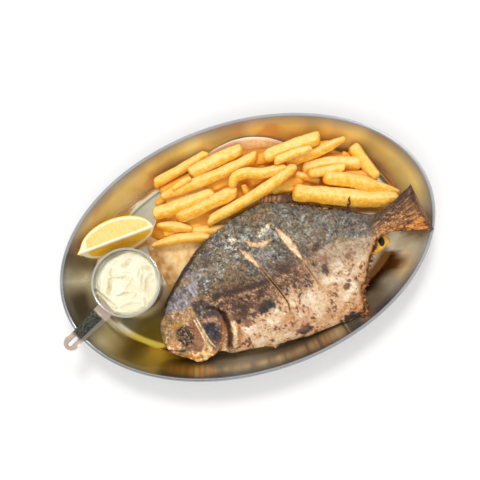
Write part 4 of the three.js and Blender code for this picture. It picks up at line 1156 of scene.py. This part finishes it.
def fish_head(u, v, m, colour, mottle, speck):
    """The face below the forehead, from the lips to the gap behind the gill cover."""
    face = smooth(u, 35, 31) * (1 - m["slate"])
    golden = inside(u, v, [(11, -10), (15.5, -16), (17, -29), (13, -35), (3, -34), (2, -29), (9, -22)])
    golden = smooth(golden + 0.6 * m["rough"], -0.6, 0.8)
    cover = smooth(m["cover"], -0.2, 1.2) * smooth(u, 12.5, 15)
    top = cover * smooth(v + 0.25 * u + 2.5 * m["rough"], -2.5, 2.5)
    painted_highlight = dab(u, v, (22.5, -7.6, 7.0, 3.0, -18), 1.6 * m["rough"]) * cover
    soft = 0.5 * m["rough"]
    dark = np.maximum(dab(u, v, (20, -15.5, 6.2, 7.4, 0), soft), dab(u, v, (22, -21, 4.6, 5.4, 0), soft))
    dark = cover * dark
    hem = smooth(np.abs(m["cover"] - 1.2), 2.0, 0.4) * smooth(u, 22, 27) * smooth(v, -4, -10)
    behind = away_from(u, v, [(45, -14), (44.4, -22), (41.6, -31), (37, -39)])
    colour = lay(
        colour,
        # Face, brow and the ring round the nostril.
        ((168, 128, 84), face * 0.9),
        ((112, 84, 60), face * smooth(mottle, 0.0, 0.5) * 0.8),
        ((206, 176, 136), face * smooth(-mottle + 0.4 * speck, 0.3, 0.8) * 0.8),
        ((172, 122, 48), dab(u, v, (-7, 0.5, 7, 3.6, 0), m["rough"]) * 0.85),
        ((196, 156, 70), smooth(np.abs(np.hypot(u + 15.2, v + 7.5) - 2.6), 1.3, 0.3) * 0.5),
        # Lips, the golden bone behind the cheek, and the jaw.
        ((228, 206, 176), m["lips"] * (0.85 - 0.2 * mottle)),
        ((190, 116, 58), m["lips"] * smooth(m["lump"], 0.45, 0.1) * 0.7),
        ((214, 172, 110), golden * 0.95),
        ((150, 100, 56), golden * smooth(np.sin(u * 2.6 + v * 0.5), 0.4, 0.9) * 0.5),
        ((240, 202, 146), m["jaw"] * 0.95),
        ((204, 122, 52), m["jaw"] * smooth(m["lump"], 0.5, 0.15) * 0.75),
        # Gill cover: brown, darker at its top, with a rosy painted highlight and a near black patch.
        ((112, 76, 54), cover * smooth(v, -36, -30) * 0.95),
        ((58, 40, 34), cover * smooth(mottle + 0.4 * speck, 0.0, 0.5) * 0.75),
        ((72, 62, 58), top * 0.9),
        ((40, 34, 34), top * smooth(mottle + 0.4 * speck, 0.1, 0.6) * 0.8),
        ((176, 150, 118), cover * smooth(speck - 0.4 * mottle, 0.45, 0.8) * 0.55),
        ((190, 144, 114), painted_highlight * (0.75 - 0.4 * mottle)),
        ((54, 47, 52), dark * 0.95),
        ((32, 31, 40), dark * smooth(mottle, -0.1, 0.4) * 0.8),
        ((116, 108, 110), dark * smooth(speck - mottle, 0.5, 1.0) * 0.4),
        ((186, 112, 50), hem * 0.75),
        # Cheek.
        ((150, 100, 66), m["cheek"] * 0.95),
        ((150, 92, 58), m["cheek"] * smooth(v, -12, -4) * 0.6),
        ((92, 60, 44), m["cheek"] * smooth(speck + mottle, 0.1, 0.5) * 0.7),
        ((172, 124, 88), m["cheek"] * smooth(mottle, 0.2, 0.8) * 0.6),
        # Eye, bones, mouth, and painted shade in the groove and in the gap behind the gill cover.
        ((74, 48, 34), m["eye"] * 0.92),
        ((30, 22, 20), m["eye"] * smooth(np.abs(m["net_noise"]), 0.2, 0.45) * 0.9),
        ((168, 128, 88), m["net"] * 0.75),
        ((200, 172, 140), m["eye"] * smooth(clouds(u, v, 1.6, 55, 2), 0.4, 0.7) * 0.8),
        ((250, 222, 178), m["bone"] * 0.95),
        ((84, 44, 26), m["mouth"] * 0.85),
        ((74, 42, 24), m["groove"] * 0.95),
        ((30, 20, 16), m["cleft"] * smooth(v, -24, -4)),
        # Shoulder, with a painted brown shade behind it.
        ((244, 214, 168), m["shoulder"] * 0.95),
        ((196, 130, 74), m["shoulder"] * smooth(mottle, 0.15, 0.6) * 0.7),
        ((178, 112, 62), smooth(behind + m["rough"], 2.6, 0.6) * 0.75),
    )
    near = smooth(u, 44, 36) * (1 - m["slate"])
    return colour * (1 + near * (0.16 * speck + 0.1 * mottle))[:, None]


def flank_colour(u, v, m, mottle, speck, blotch):
    """Cream belly and flank with browned specks, greyer at the upper rear, and the brown band."""
    crowd = crowding(u, v)
    grain = speck + 0.4 * mottle
    flank = smooth(u, 104, 130) * smooth(v, -24, -4) * smooth(u, 196, 182)
    burnt = smooth(m["band"] + 1.5 * mottle + 1.2 * speck, 1.0, 1.4) * smooth(m["band"], 0.1, 0.5)
    return lay(
        (212, 180, 143),
        ((233, 211, 182), smooth(blotch + 0.35 * mottle, 0.0, 0.6) * 0.9),
        ((206, 160, 116), crowd * (0.55 + 0.35 * mottle)),
        ((176, 112, 66), smooth(grain, 0.3, 0.7) * crowd * 0.8),
        ((104, 60, 38), smooth(clouds(u, v, 2.0, 56, 2) + 0.55 * crowd, 0.8, 1.0) * 0.9),
        ((196, 128, 70), smooth(v, -38, -56) * smooth(u, 60, 150) * (0.35 + 0.3 * mottle)),
        # Upper rear flank.
        ((158, 134, 106), flank * 0.75),
        ((196, 182, 160), flank * smooth(-mottle, 0.2, 0.7) * 0.6),
        ((118, 78, 46), flank * smooth(grain, 0.2, 0.6) * 0.7),
        # Brown band.
        ((136, 96, 68), m["band"] * (0.9 - 0.15 * mottle)),
        ((46, 32, 26), burnt * 0.85),
        ((214, 172, 130), m["band"] * smooth(-mottle + speck, 0.2, 0.6) * 0.8),
        ((160, 96, 50), m["band"] * smooth(clouds(u, v, 2.2, 60, 2), 0.55, 0.85) * 0.6),
    )


def tail_colour(u, v, m):
    """Brown rays, orange towards the lower edge and dark along the end."""
    spread = tail_spread(u, v)
    streak = clouds(u * 0.2, spread * 20, 1.6, 67, 3)
    dots = clouds(u * 0.9, v, 1.5, 72, 2)
    return lay(
        (146, 96, 62),
        ((204, 112, 34), smooth(spread, 0.0, -0.6) * 0.9),
        ((96, 66, 50), smooth(spread, 0.35, 0.8) * 0.8),
        ((178, 150, 112), smooth(spread, 0.75, 1.0) * smooth(u, 234, 212) * 0.7),
        ((78, 46, 32), smooth(streak, 0.0, 0.4) * 0.8),
        ((212, 150, 70), smooth(-streak, 0.1, 0.5) * 0.75),
        ((70, 42, 28), smooth(m["rays"], 0.7, 0.95) * smooth(spread, -0.2, 0.3) * 0.6),
        ((58, 36, 28), smooth(dots, 0.3, 0.6) * smooth(u, 232, 222) * 0.75),
        ((226, 186, 132), smooth(-dots, 0.5, 0.8) * smooth(u, 232, 216) * 0.5),
        ((52, 32, 24), smooth(u + 2.5 * streak, 233, 238) * 0.75),
        ((60, 40, 30), smooth(np.abs(spread), 0.9, 1.05) * smooth(spread, -0.5, 0.5) * 0.7),
    )


def fish_colour(u, v, m):
    """The skin's colour at each point, as display colours."""
    mottle = clouds(u, v, 3.0, 51, 3)
    speck = clouds(u, v, 1.9, 52, 2)
    blotch = clouds(u, v, 9, 53, 3)
    colour = flank_colour(u, v, m, mottle, speck, blotch)
    stripe = away_from(u, v, [(30, 9), (40, 8.6), (54, 5.6), (66, 3.6), (79, 1.4), (88, 0)])
    colour = lay(
        colour,
        (slate_skin(u, v, m, mottle, speck, blotch), m["slate"]),
        ((44, 32, 26), smooth(stripe + 1.6 * mottle, 3.6, 1.0) * 0.85),
    )
    colour = fish_head(u, v, m, colour, mottle, speck)
    torn = away_from(u, v, TORN_EDGE)
    colour = lay(
        colour,
        (tail_colour(u, v, m), m["tail"]),
        # The torn margin, where a fin has come away.
        ((196, 140, 88), smooth(torn + 1.6 * mottle, 7, 2) * 0.8),
        ((150, 82, 38), smooth(torn + 1.2 * speck, 3.6, 1.2) * 0.85),
        ((64, 36, 24), smooth(torn + 1.6 * mottle + speck, 2.2, 0.4) * 0.85),
    )
    # Each patch has a browned margin, then its own colour.
    for *place, tint, strength in PATCHES:
        share = dab(u, v, place, m["rough"])
        uneven = 0.3 * mottle if sum(tint) < CHARRED else 0.35 * mottle + 0.4 * speck - 0.05
        margin = 0.5 * np.add(tint, (150, 84, 44))
        colour = lay(
            colour,
            (margin, np.clip(share * 1.6, 0, 1) * strength * 0.6),
            (tint, share * strength * (0.9 + uneven)),
        )
    colour = lay(
        colour,
        ((204, 146, 80), m["edge"] * 0.85),
        ((240, 202, 164), m["flesh"]),
        ((212, 150, 112), m["flesh"] * smooth(mottle, 0.1, 0.6) * 0.5),
        ((30, 22, 18), m["slit"]),
    )
    colour = colour * (1 + (0.05 + 0.09 * m["slate"]) * (m["fine"] + 0.7 * speck))[:, None]
    return np.clip(colour, 0, 255)


def fish_skin(along, around):
    """The fish's body as a closed skin, with its relief, and where each point lies on its plan."""
    nose, tail_end, upper_share, middle_height, deepest = -25.5, 239, 0.70, 18, 13.6
    bm, s, w = sheet_of(along, around)
    u = np.interp(s, [0, 0.27, 0.80, 1], [nose, 45, 195, tail_end])
    angle = np.where(w < upper_share, w / upper_share, 1 + (w - upper_share) / (1 - upper_share)) * math.pi
    back, belly, upper, rise = [through(u, BODY[:, 0], BODY[:, k]) for k in range(1, 5)]
    ragged = smooth(u, 148, 158) * smooth(u, 196, 186)
    belly = belly + ragged * (1.3 * clouds(u, 0 * u, 3.2, 61, 3)) + 0.35 * clouds(u, 0 * u + 7, 5, 62, 2)
    back = back + 0.35 * clouds(u, 0 * u + 3, 4, 63, 3)
    snout = np.sqrt(np.clip(1 - (np.clip(nose + 4 - u, 0, 4) / 4) ** 2, 0, 1))
    tail_tip = np.sqrt(np.clip(1 - (np.clip(u - tail_end + 2.5, 0, 2.5) / 2.5) ** 2, 0, 1))
    middle, half = (back + belly) / 2, (back - belly) / 2 * snout
    # The section is a bit squarer than an ellipse.
    across, lift = [np.sign(part) * np.abs(part) ** (2 / 2.3) for part in (np.cos(angle), np.sin(angle))]
    upper, under = upper * snout * tail_tip, np.minimum(deepest, upper) * snout * tail_tip
    fork = 4 * np.maximum(0, 1 - np.abs(across) * 1.1) * np.maximum(0, u - 230) / 9
    fork += 0.7 * clouds(0 * u, across * 30, 3, 64, 2) * smooth(u, 228, tail_end)
    v = middle + half * across
    x, y = fish_place(u - np.maximum(fork, 0), v)
    rest = dish_height(x, y) + 0.7 + np.maximum(0, lift) * 4
    z = np.maximum(middle_height + rise + lift * np.where(lift > 0, upper, under), rest)
    put(bm, np.c_[x, y, z])
    bmesh.ops.recalc_face_normals(bm, faces=bm.faces)
    normals = normals_of(bm)
    if normals[lift > 0.9][:, 2].mean() < 0:
        bmesh.ops.reverse_faces(bm, faces=bm.faces)
        normals = -normals
    relief, masks = fish_surface(u, v)
    relief = relief * smooth(lift, 0.03, 0.35) * snout
    put(bm, np.c_[x, y, z] + normals * relief[:, None])
    return bm, u, v, lift, masks


def paint(bm, colour):
    """Stores a display colour for each point, for the skin's material to read."""
    layer = bm.verts.layers.float_color.get("skin") or bm.verts.layers.float_color.new("skin")
    c = np.clip(colour, 0, 255) / 255
    linear = np.where(c <= 0.04045, c / 12.92, ((c + 0.055) / 1.055) ** 2.4)
    for vertex, (red, green, blue) in zip(bm.verts, linear):
        vertex[layer] = (red, green, blue, 1)


SKIN_NUMBERS = ("wet", "char", "scales", "grain", "flecks", "gilt")


def make_fish(material):
    bm, u, v, lift, m = fish_skin(along=400, around=228)
    below = smooth(lift, 0.1, -0.4)
    paint(bm, lay(fish_colour(u, v, m), ((150, 112, 80), below)))
    crowd, slate, skin_left = crowding(u, v), m["slate"], 1 - m["flesh"]
    dark = np.maximum.reduce([slate, m["band"], m["tail"], smooth(u, 40, 32)])
    scaly = np.clip(slate + 0.3, 0, 1) * skin_left * smooth(u, 24, 40) * (1 - m["tail"])
    keep(bm, "wet", np.clip(m["flesh"] * 0.6 + slate * 0.5 + m["cheek"], 0, 1))
    keep(bm, "flecks", (0.02 + 0.24 * crowd * (1 - slate) + 0.5 * m["band"]) * skin_left)
    keep(bm, "gilt", slate * (0.08 + 0.34 * crowd) * (0.3 + 0.7 * smooth(u, 20, 36)) + 0.1 * m["band"])
    keep(bm, "grain", np.clip(0.35 + 0.65 * dark, 0, 1) * skin_left)
    keep(bm, "char", m["char"])
    keep(bm, "scales", scaly)
    close_up(bm, 3e-3)
    piece("fish_body", bm, material, "fish")


def sheet_piece(total, base, tip, low, high, crumple, colour_of, seed, along=40, up=14, thick=0.8):
    """A thin crumpled leaf from one line to another, given as plan points, with the heights of the two."""
    bm, s, w = sheet_of(along, up * 2)
    t = 1 - np.abs(2 * w - 1)
    (base_u, base_v), (tip_u, tip_v) = at_share(s, base), at_share(s, tip)
    u, v = base_u + (tip_u - base_u) * t, base_v + (tip_v - base_v) * t
    wave = clouds(u, v, 4, seed, 3)
    rib = np.sin(s * 62 + 2.2 * clouds(s * 20, 0 * s, 6, seed + 1, 2))
    z = low * (1 - t) + high * t + crumple * (wave + 0.45 * rib) * smooth(t, 0, 0.25)
    x, y = fish_place(u + 0.5 * wave, v + 0.3 * rib * t)
    z = np.maximum(z, dish_height(x, y) + 0.6 + thick)
    open_up, open_along = [np.sin(np.pi * np.clip(share, 0, 1)) for share in (t, s)]
    z -= (w > 0.5) * thick * np.minimum(1, 3 * open_up * open_along)
    put(bm, np.c_[x, y, z])
    paint(bm, colour_of(s, t, wave, rib))
    close_up(bm, 1e-3)
    gather(total, bm)


def thorn(total, plan, heights, radii, colour):
    """A thin crooked spine, given as plan points with their heights and radii."""
    rings, turns = 12, 8
    bm, s, w = sheet_of(rings, turns)
    points = [(*fish_place(u, v), z) for (u, v), z in zip(plan, heights)]
    middle, ahead, behind = [np.transpose(at_share(np.clip(s + step, 0, 1), points))
                             for step in (0, 0.02, -0.02)]
    forward = unit(ahead - behind)
    side = unit(np.cross(forward, [0.3, 0.2, 1.0]))
    up = np.cross(side, forward)
    r = np.interp(s, np.linspace(0, 1, len(radii)), radii)[:, None]
    angle = (w * math.tau)[:, None]
    put(bm, middle + side * r * np.cos(angle) + up * r * np.sin(angle))
    close_up(bm, 1e-3)
    paint(bm, np.tile(np.asarray(colour, float), (len(bm.verts), 1)))
    gather(total, bm)


def flakes(total, edge, count, reach, breadth, rng, dark, pale):
    """Torn flakes that stand out along an edge, where a fin has come away."""
    for number in range(count):
        at = (number + rng.uniform(0.1, 0.9)) / count
        here, there = [np.array(at_share(min(at + step, 1), edge)) for step in (-0.01, 0.01)]
        along = (there - here) / (np.linalg.norm(there - here) or 1)
        out = np.array([along[1], -along[0]])
        root = (here + there) / 2
        far, wide, skew = rng.uniform(*reach), breadth * rng.uniform(0.5, 1), rng.uniform(-1.5, 1.5)
        tint = np.add(dark, rng.uniform(0, 1) * np.subtract(pale, dark))
        base = [root - out * 2 + along * wide * k for k in (-1, 0, 1)]
        tip = [root + out * far * f + along * (skew + wide * 0.5 * k)
               for k, f in ((-1, 0.6), (0, 1), (1, 0.7))]

        def flake(s, t, wave, rib, tint=tint):
            return lay(tint, ((70, 38, 22), smooth(t, 0.55, 1.0) * 0.7))

        sheet_piece(total, base, tip, low=19.5, high=rng.uniform(18, 24), crumple=0.35, colour_of=flake,
                    seed=90 + number, along=8, up=6, thick=0.5)


def make_fins(material):
    """What is left of the fins, and the torn edge behind the belly."""
    total = bmesh.new()
    total.verts.layers.float_color.new("skin")

    def back_fin(s, t, wave, rib):
        return lay(
            (158, 106, 60),
            ((84, 54, 34), smooth(rib, 0.3, 0.9) * 0.8),
            ((206, 160, 108), smooth(-rib, 0.2, 0.8) * 0.7),
            ((226, 210, 186), smooth(s, 0.16, 0.05) * 0.9),
            ((178, 116, 58), smooth(wave, 0.3, 0.8) * 0.6),
            ((74, 72, 72), smooth(t + 0.3 * wave, 0.45, 0.15) * 0.8),
            ((72, 44, 28), smooth(s + 0.25 * wave, 0.55, 0.8) * 0.8),
            ((34, 24, 20), smooth(t, 0.8, 1.0) * smooth(s, 0.3, 0.45) * 0.9),
        )

    sheet_piece(total, [(101, 62), (110, 64), (120, 62), (130, 58), (142, 51)],
                [(103.5, 61), (108.5, 69.5), (116.5, 76.3), (121, 73.5), (124, 73), (128, 70.2), (132, 69),
                 (137, 66), (140, 65.2), (143, 66.3), (142.5, 60)],
                low=22.0, high=21.5, crumple=2.4, colour_of=back_fin, seed=81)

    def belly_fin(s, t, wave, rib):
        return lay(
            (190, 150, 106),
            ((96, 60, 36), smooth(t, 0.6, 1) * 0.8),
            ((236, 216, 184), smooth(rib, 0.3, 0.9) * 0.7),
        )

    sheet_piece(total, [(57, -47), (65, -49), (73, -51)],
                [(59.5, -52), (62, -54), (65.6, -57.4), (67, -56), (70, -55.5), (72, -52)],
                low=19.0, high=17.3, crumple=0.5, colour_of=belly_fin, seed=83, along=16, up=8)
    rng = np.random.default_rng(5)
    flakes(total, TORN_EDGE[1:-1], 46, (1.4, 4.8), 3.0, rng, (112, 60, 28), (222, 160, 92))
    flakes(total, CRUSTY_EDGE, 34, (0.5, 1.9), 1.8, rng, (58, 36, 24), (206, 148, 66))
    thorn(total, [(178, 26), (181.6, 28.6), (180.8, 31.6), (184.2, 33.4), (183.4, 36), (186, 38.5)],
          (26, 28.5, 29.5, 31, 32, 32), (1.4, 1.0, 1.4, 0.7, 1.0, 0.25), (70, 40, 26))
    thorn(total, [(140, 60), (142.5, 65), (144, 68.5)], (19, 20.5, 22), (0.9, 0.7, 0.2), (46, 28, 22))
    for name in SKIN_NUMBERS:
        total.verts.layers.float.new(name)
    piece("fin_remains", total, material, "fish")


# ---------------------------------------------------------------- finishes

def dish_finish():
    """Polished steel with painted reflections and shade inside, a scuffed wall and a greyer rolled edge."""
    f = Finish("dish steel")
    # Painted reflections and shade: olive gold, gold beside the fries, shade bands and the brown painted
    # shadow of the fish.
    tint_and_painted_light = f.mix(f.stored("painted_olive_reflection"), rgb(254, 245, 212), rgb(224, 194, 80))
    patches = f.noise(17, detail=2, rough=0.5, distortion=0.8)
    painted_fry_reflection = f.ramp(patches, (0.38, rgb(236, 182, 74)), (0.47, rgb(255, 228, 112)),
                    (0.6, rgb(255, 242, 158)))
    tint_and_painted_light = f.mix(f.stored("golden"), tint_and_painted_light, painted_fry_reflection)
    tint_and_painted_light = f.mix(f.stored("shady"), tint_and_painted_light, rgb(138, 120, 100))
    tint_and_painted_light = f.mix(f.stored("painted_shadow"), tint_and_painted_light, rgb(124, 80, 36))
    colour = f.mix(f.stored("inside"), rgb(206, 204, 200), tint_and_painted_light)
    look = f.effect(STEEL, Place=f.place, Streaks=(1, 6, 1), Colour=colour, Roughness=0.16)
    f.feed("Base Color", f.mix(f.stored("rim"), look["Colour"], rgb(176, 178, 182)))
    f.feed("Metallic", f.math("SUBTRACT", 0.93, f.stored("painted_sheen")))
    rougher = f.math("ADD", look["Roughness"], f.math("MULTIPLY", f.stored("wall"), 0.06))
    f.feed("Roughness", f.math("ADD", rougher, f.math("MULTIPLY", f.stored("golden"), 0.14)))
    f.feed("Normal", look["Normal"])
    return f.material


def cup_finish():
    f = Finish("cup steel", Metallic=1.0)
    look = f.effect(STEEL, Place=f.place, Streaks=(1, 1, 5), Colour=rgb(232, 230, 226), Roughness=0.2)
    f.feed("Base Color", look["Colour"])
    f.feed("Roughness", look["Roughness"])
    f.feed("Normal", look["Normal"])
    return f.material


def fry_finish():
    f = Finish("fried potato", Roughness=0.4, Specular_IOR_Level=0.5, Subsurface_Weight=0.15,
               Subsurface_Scale=0.003, Subsurface_Radius=(1.0, 0.45, 0.08))
    mottle = f.noise(260, detail=4, rough=0.6)
    speck = f.noise(1100, detail=2)
    # The cut potato's grain runs along each fry.
    way = f.paired(f.stored("lengthwise"), f.stored("crosswise"))
    grain = f.noise(0.8, detail=4, rough=0.6, vector=way, distortion=0.3)
    grain = f.math("MULTIPLY", f.math("SUBTRACT", grain, 0.5), 1.1)
    # Painted light: paler on the faces turned to the light, deeper gold on those turned away, with the grain
    # added.
    tone = f.math("ADD", f.stored("tone"), grain, clamp=True)
    gold = f.ramp(tone, (0.0, rgb(246, 174, 30)), (0.45, rgb(249, 190, 50)),
                  (0.8, rgb(250, 202, 98)), (1.0, rgb(250, 209, 126)))
    gold = f.over(gold, rgb(253, 222, 142), f.ramp(mottle, (0.45, 0.0), (0.62, 1.0)), 0.55)
    gold = f.over(gold, rgb(240, 166, 38), f.ramp(mottle, (0.34, 1.0), (0.46, 0.0)), 0.4)
    crisp = f.math("MULTIPLY", f.stored("brown"), f.ramp(f.noise(420, detail=3), (0.35, 0.0), (0.6, 1.0)))
    gold = f.over(gold, rgb(238, 154, 26), crisp, 0.9)
    gold = f.over(gold, rgb(214, 132, 40), f.ramp(speck, (0.62, 0.0), (0.75, 1.0)), 0.25)
    # Painted shade: a deeper gold on shaded faces and on the fries below.
    gold = f.over(gold, rgb(244, 168, 32), f.stored("deep"), 0.8)
    f.feed("Base Color", f.mix(f.stored("burnt"), gold, rgb(26, 24, 24)))
    f.crust(330.0, 0.8)
    return f.material


def core_finish():
    f = Finish("fries in shade", Roughness=0.6)
    f.feed("Base Color", f.ramp(f.noise(90, detail=3), (0.3, rgb(208, 132, 30)), (0.7, rgb(232, 164, 52))))
    f.crust(300.0, 0.5)
    return f.material


def sauce_finish():
    f = Finish("white sauce", Roughness=0.3, Subsurface_Weight=0.12, Subsurface_Scale=0.002,
               Subsurface_Radius=(1.0, 0.8, 0.45))
    tint = f.ramp(f.noise(70, detail=3), (0.35, rgb(232, 224, 190)), (0.65, rgb(240, 235, 212)))
    # Painted shade in the creases.
    tint = f.over(tint, rgb(202, 180, 124), f.stored("painted_crease_shade"), 0.5)
    bits = f.ramp(f.cells(420), (0.14, 1.0), (0.22, 0.0))
    strewn = f.math("ADD", f.stored("herb"), f.specks(75.0, 0.15))
    f.feed("Base Color", f.over(tint, rgb(140, 134, 70), bits, strewn))
    f.crust(240.0, 0.3)
    return f.material


def bread_finish():
    f = Finish("flatbread", Roughness=0.78)
    crumb = f.noise(170, detail=5, rough=0.6)
    spots = f.math("MULTIPLY", f.stored("toast"), f.ramp(f.noise(330, detail=3), (0.45, 0.0), (0.6, 1.0)))
    pits = f.ramp(f.cells(300), (0.0, 1.0), (0.16, 0.0))
    colour = f.ramp(crumb, (0.3, rgb(238, 184, 112)), (0.5, rgb(251, 216, 148)), (0.72, rgb(254, 236, 190)))
    colour = f.over(colour, rgb(240, 184, 128), f.specks(60.0, 0.4), 0.4)
    colour = f.over(colour, rgb(170, 96, 42), spots, 0.8)
    colour = f.over(colour, rgb(196, 118, 60), pits, 0.3)
    colour = f.over(colour, rgb(253, 242, 222), f.stored("flour"), 0.9)
    # Beside the cup: the cup's painted shadow, with a toasted edge.
    colour = f.over(colour, rgb(176, 120, 58), f.stored("crust"), 0.9)
    f.feed("Base Color", colour)
    f.bump((f.noise(120, detail=3), 0.5, 0.9), (crumb, 0.4, 0.4), (pits, 0.35, -0.25))
    return f.material


def lemon_finish():
    f = Finish("lemon", Roughness=0.33, Subsurface_Weight=0.2, Subsurface_Scale=0.004,
               Subsurface_Radius=(1.0, 0.75, 0.25))
    # Juice sacs run from the core to the rind.
    fan = f.paired(f.math("MULTIPLY", f.stored("spoke"), 0.5), f.math("MULTIPLY", f.stored("out"), 0.14))
    sacs = f.noise(1.0, detail=3, vector=fan, distortion=0.4)
    flesh = f.ramp(sacs, (0.35, rgb(246, 204, 118)), (0.65, rgb(250, 216, 138)))
    # Painted shade: the same flesh is a deeper gold on the shaded cut face.
    deep = f.ramp(sacs, (0.3, rgb(255, 184, 26)), (0.7, rgb(255, 206, 62)))
    flesh = f.mix(f.stored("under"), flesh, deep)
    flesh = f.over(flesh, rgb(238, 170, 104), f.specks(150.0, 0.25), 0.4)
    colour = f.mix(f.stored("pith"), flesh, rgb(246, 234, 200))
    f.feed("Base Color", f.mix(f.stored("rind"), colour, rgb(240, 196, 34)))
    f.bump((sacs, 0.4, 0.5), (f.noise(700, detail=2), 0.25, 0.2))
    return f.material


def strap_finish():
    """Pressed steel that has been handled: pitted, and painted dark along the strap as a dark reflection,
    with a painted lighter flange, and pale at its two ends from wear and a painted sheen.
    """
    f = Finish("strap steel", Metallic=1.0)
    # The strap's dark colour is a painted dark reflection.
    look = f.effect(STEEL, Place=f.place, Streaks=(1, 1, 1), Colour=rgb(104, 104, 94), Roughness=0.3)
    pits = f.noise(800, detail=4, rough=0.75)
    dark = f.mix(1.0, look["Colour"], f.ramp(pits, (0.4, 0.3), (0.54, 0.9), (0.66, 2.6)), blend="MULTIPLY")
    # Painted lighter reflection on the flange.
    dark = f.over(dark, rgb(160, 155, 142), f.stored("flange"), 0.8)
    f.feed("Base Color", f.mix(f.stored("wear_and_painted_sheen"), dark, rgb(232, 208, 190)))
    f.feed("Roughness", f.math("ADD", look["Roughness"], f.math("MULTIPLY", f.stored("wear_and_painted_sheen"), 0.15)))
    f.bump((pits, 0.5, 0.12), (f.noise(2500, detail=2), 0.2, 0.04))
    return f.material


def skin_finish():
    """The painted skin with grit and wrinkles, both with painted shade and highlight, gilt and dark specks,
    and scales pressed into it.
    """
    f = Finish("grilled skin", Specular_IOR_Level=0.5)
    grit = f.noise(800, detail=4, rough=0.65)
    tiny = f.noise(1900, detail=2)
    wrinkles = f.noise(430, detail=2, rough=0.6, distortion=0.7)
    # Grit and wrinkles are painted darker in their dips and lighter on their tops, with the same noise as
    # their bumps: painted shade and highlight.
    shade = f.ramp(grit, (0.34, 0.6), (0.5, 0.98), (0.68, 1.4))
    painted_wrinkle_light = f.ramp(wrinkles, (0.36, 0.6), (0.5, 1.0), (0.64, 1.5))
    colour = f.mix(f.stored("grain"), f.stored("skin", "Color"), shade, blend="MULTIPLY")
    colour = f.mix(f.stored("scales"), colour, painted_wrinkle_light, blend="MULTIPLY")
    gilt = f.specks(620.0, f.stored("gilt"), vector=f.mapped(at=(0.3, 0.1, 0.2)))
    colour = f.over(colour, rgb(166, 118, 48), gilt, 0.7)
    colour = f.over(colour, rgb(62, 37, 26), f.specks(700.0, f.stored("flecks")), 0.75)
    f.feed("Base Color", colour)
    rough = f.math("MULTIPLY_ADD", f.stored("wet"), -0.16, 0.46)
    f.feed("Roughness", f.math("ADD", rough, f.math("MULTIPLY", f.stored("char"), 0.1)))
    scales = f.cells(1.0, vector=f.mapped((420, 620, 420), turn=-FISH_TURN), feature="SMOOTH_F1")
    scales = f.math("MULTIPLY", scales, f.stored("scales"))
    coarse = f.math("MULTIPLY_ADD", f.stored("scales"), 0.5, 0.15)
    f.bump((f.noise(300, detail=4), coarse, 1.2), (wrinkles, coarse, 0.8), (scales, 0.5, 0.5),
           (grit, 0.4, 0.35), (tiny, 0.3, 0.12))
    return f.material


make_dish(dish_finish())
make_cup(cup_finish())
make_sauce(sauce_finish())
make_handle(strap_finish())
make_bread(bread_finish())
make_lemon(lemon_finish())
potato = fry_finish()
make_fries(potato)
make_core(core_finish())
make_loose_fry(potato)
skin = skin_finish()
make_fish(skin)
make_fins(skin)


# ---------------------------------------------------------------- floor, light and camera

def make_stage():
    bm = bmesh.new()
    bmesh.ops.create_grid(bm, x_segments=1, y_segments=1, size=6)
    floor = in_scene("floor", mesh_of("floor", bm))
    floor.data.materials.append(Finish("pale floor", Base_Color=(0.86, 0.86, 0.86), Roughness=0.9).material)


def make_light(name, at, size, power, colour=(1, 1, 1)):
    """A round lamp that faces the dish."""
    dish = Vector((0, 0, 0.02))
    lamp = bpy.data.lights.new(name, "AREA")
    lamp.shape, lamp.size, lamp.energy, lamp.color = "DISK", size, power, colour
    made = in_scene(name, lamp)
    made.location = at
    made.rotation_euler = (dish - Vector(at)).to_track_quat("-Z", "Y").to_euler()
    return made


def make_camera():
    """Looks down steeply, from the side of the fish's belly."""
    at, azimuth, elevation = (-0.025833, -0.051776, 0.618766), math.radians(-18.793), math.radians(84)
    right = Vector((math.cos(azimuth), math.sin(azimuth), 0))
    back = Vector((math.sin(azimuth) * math.cos(elevation), -math.cos(azimuth) * math.cos(elevation),
                   math.sin(elevation)))
    turn = Matrix((right, back.cross(right), back)).transposed()
    lens = bpy.data.cameras.new("camera")
    lens.lens, lens.sensor_width = 48.75, 36
    lens.clip_start, lens.clip_end = 0.01, 20
    made = in_scene("camera", lens)
    made.matrix_world = Matrix.Translation(at) @ turn.to_4x4()
    bpy.context.scene.camera = made


def make_studio():
    """A pale room with one dark round overhead, which the steel mirrors."""
    world = bpy.data.worlds.new("studio")
    bpy.context.scene.world = world
    world.use_nodes = True
    n = Nodes(world.node_tree)
    overhead = Vector((-0.22, -0.1, 0.97)).normalized()
    where = n.node("ShaderNodeTexCoord").outputs["Generated"]
    near = n.node("ShaderNodeVectorMath", {0: where, 1: overhead}, operation="DOT_PRODUCT")
    shade = n.node("ShaderNodeMapRange", {"Value": near.outputs["Value"],
                                          "From Min": math.cos(math.radians(19)),
                                          "From Max": math.cos(math.radians(12.5))})
    tint = n.ramp(shade.outputs["Result"], (0.0, (0.78, 0.78, 0.775)), (1.0, (0.035, 0.022, 0.006)))
    n.fill(world.node_tree.nodes["Background"].inputs["Color"], tint)


make_stage()
make_camera()
make_studio()
make_light("key", (0.12, 0.8, 1.35), 0.45, 10, (1, 0.98, 0.95)).visible_glossy = False
make_light("sheen", (0.75, 0.45, 0.95), 0.22, 5).visible_diffuse = False
make_light("fill", (-0.5, -0.7, 1.4), 1.2, 8).visible_glossy = False
bpy.context.scene.view_settings.view_transform = "Standard"
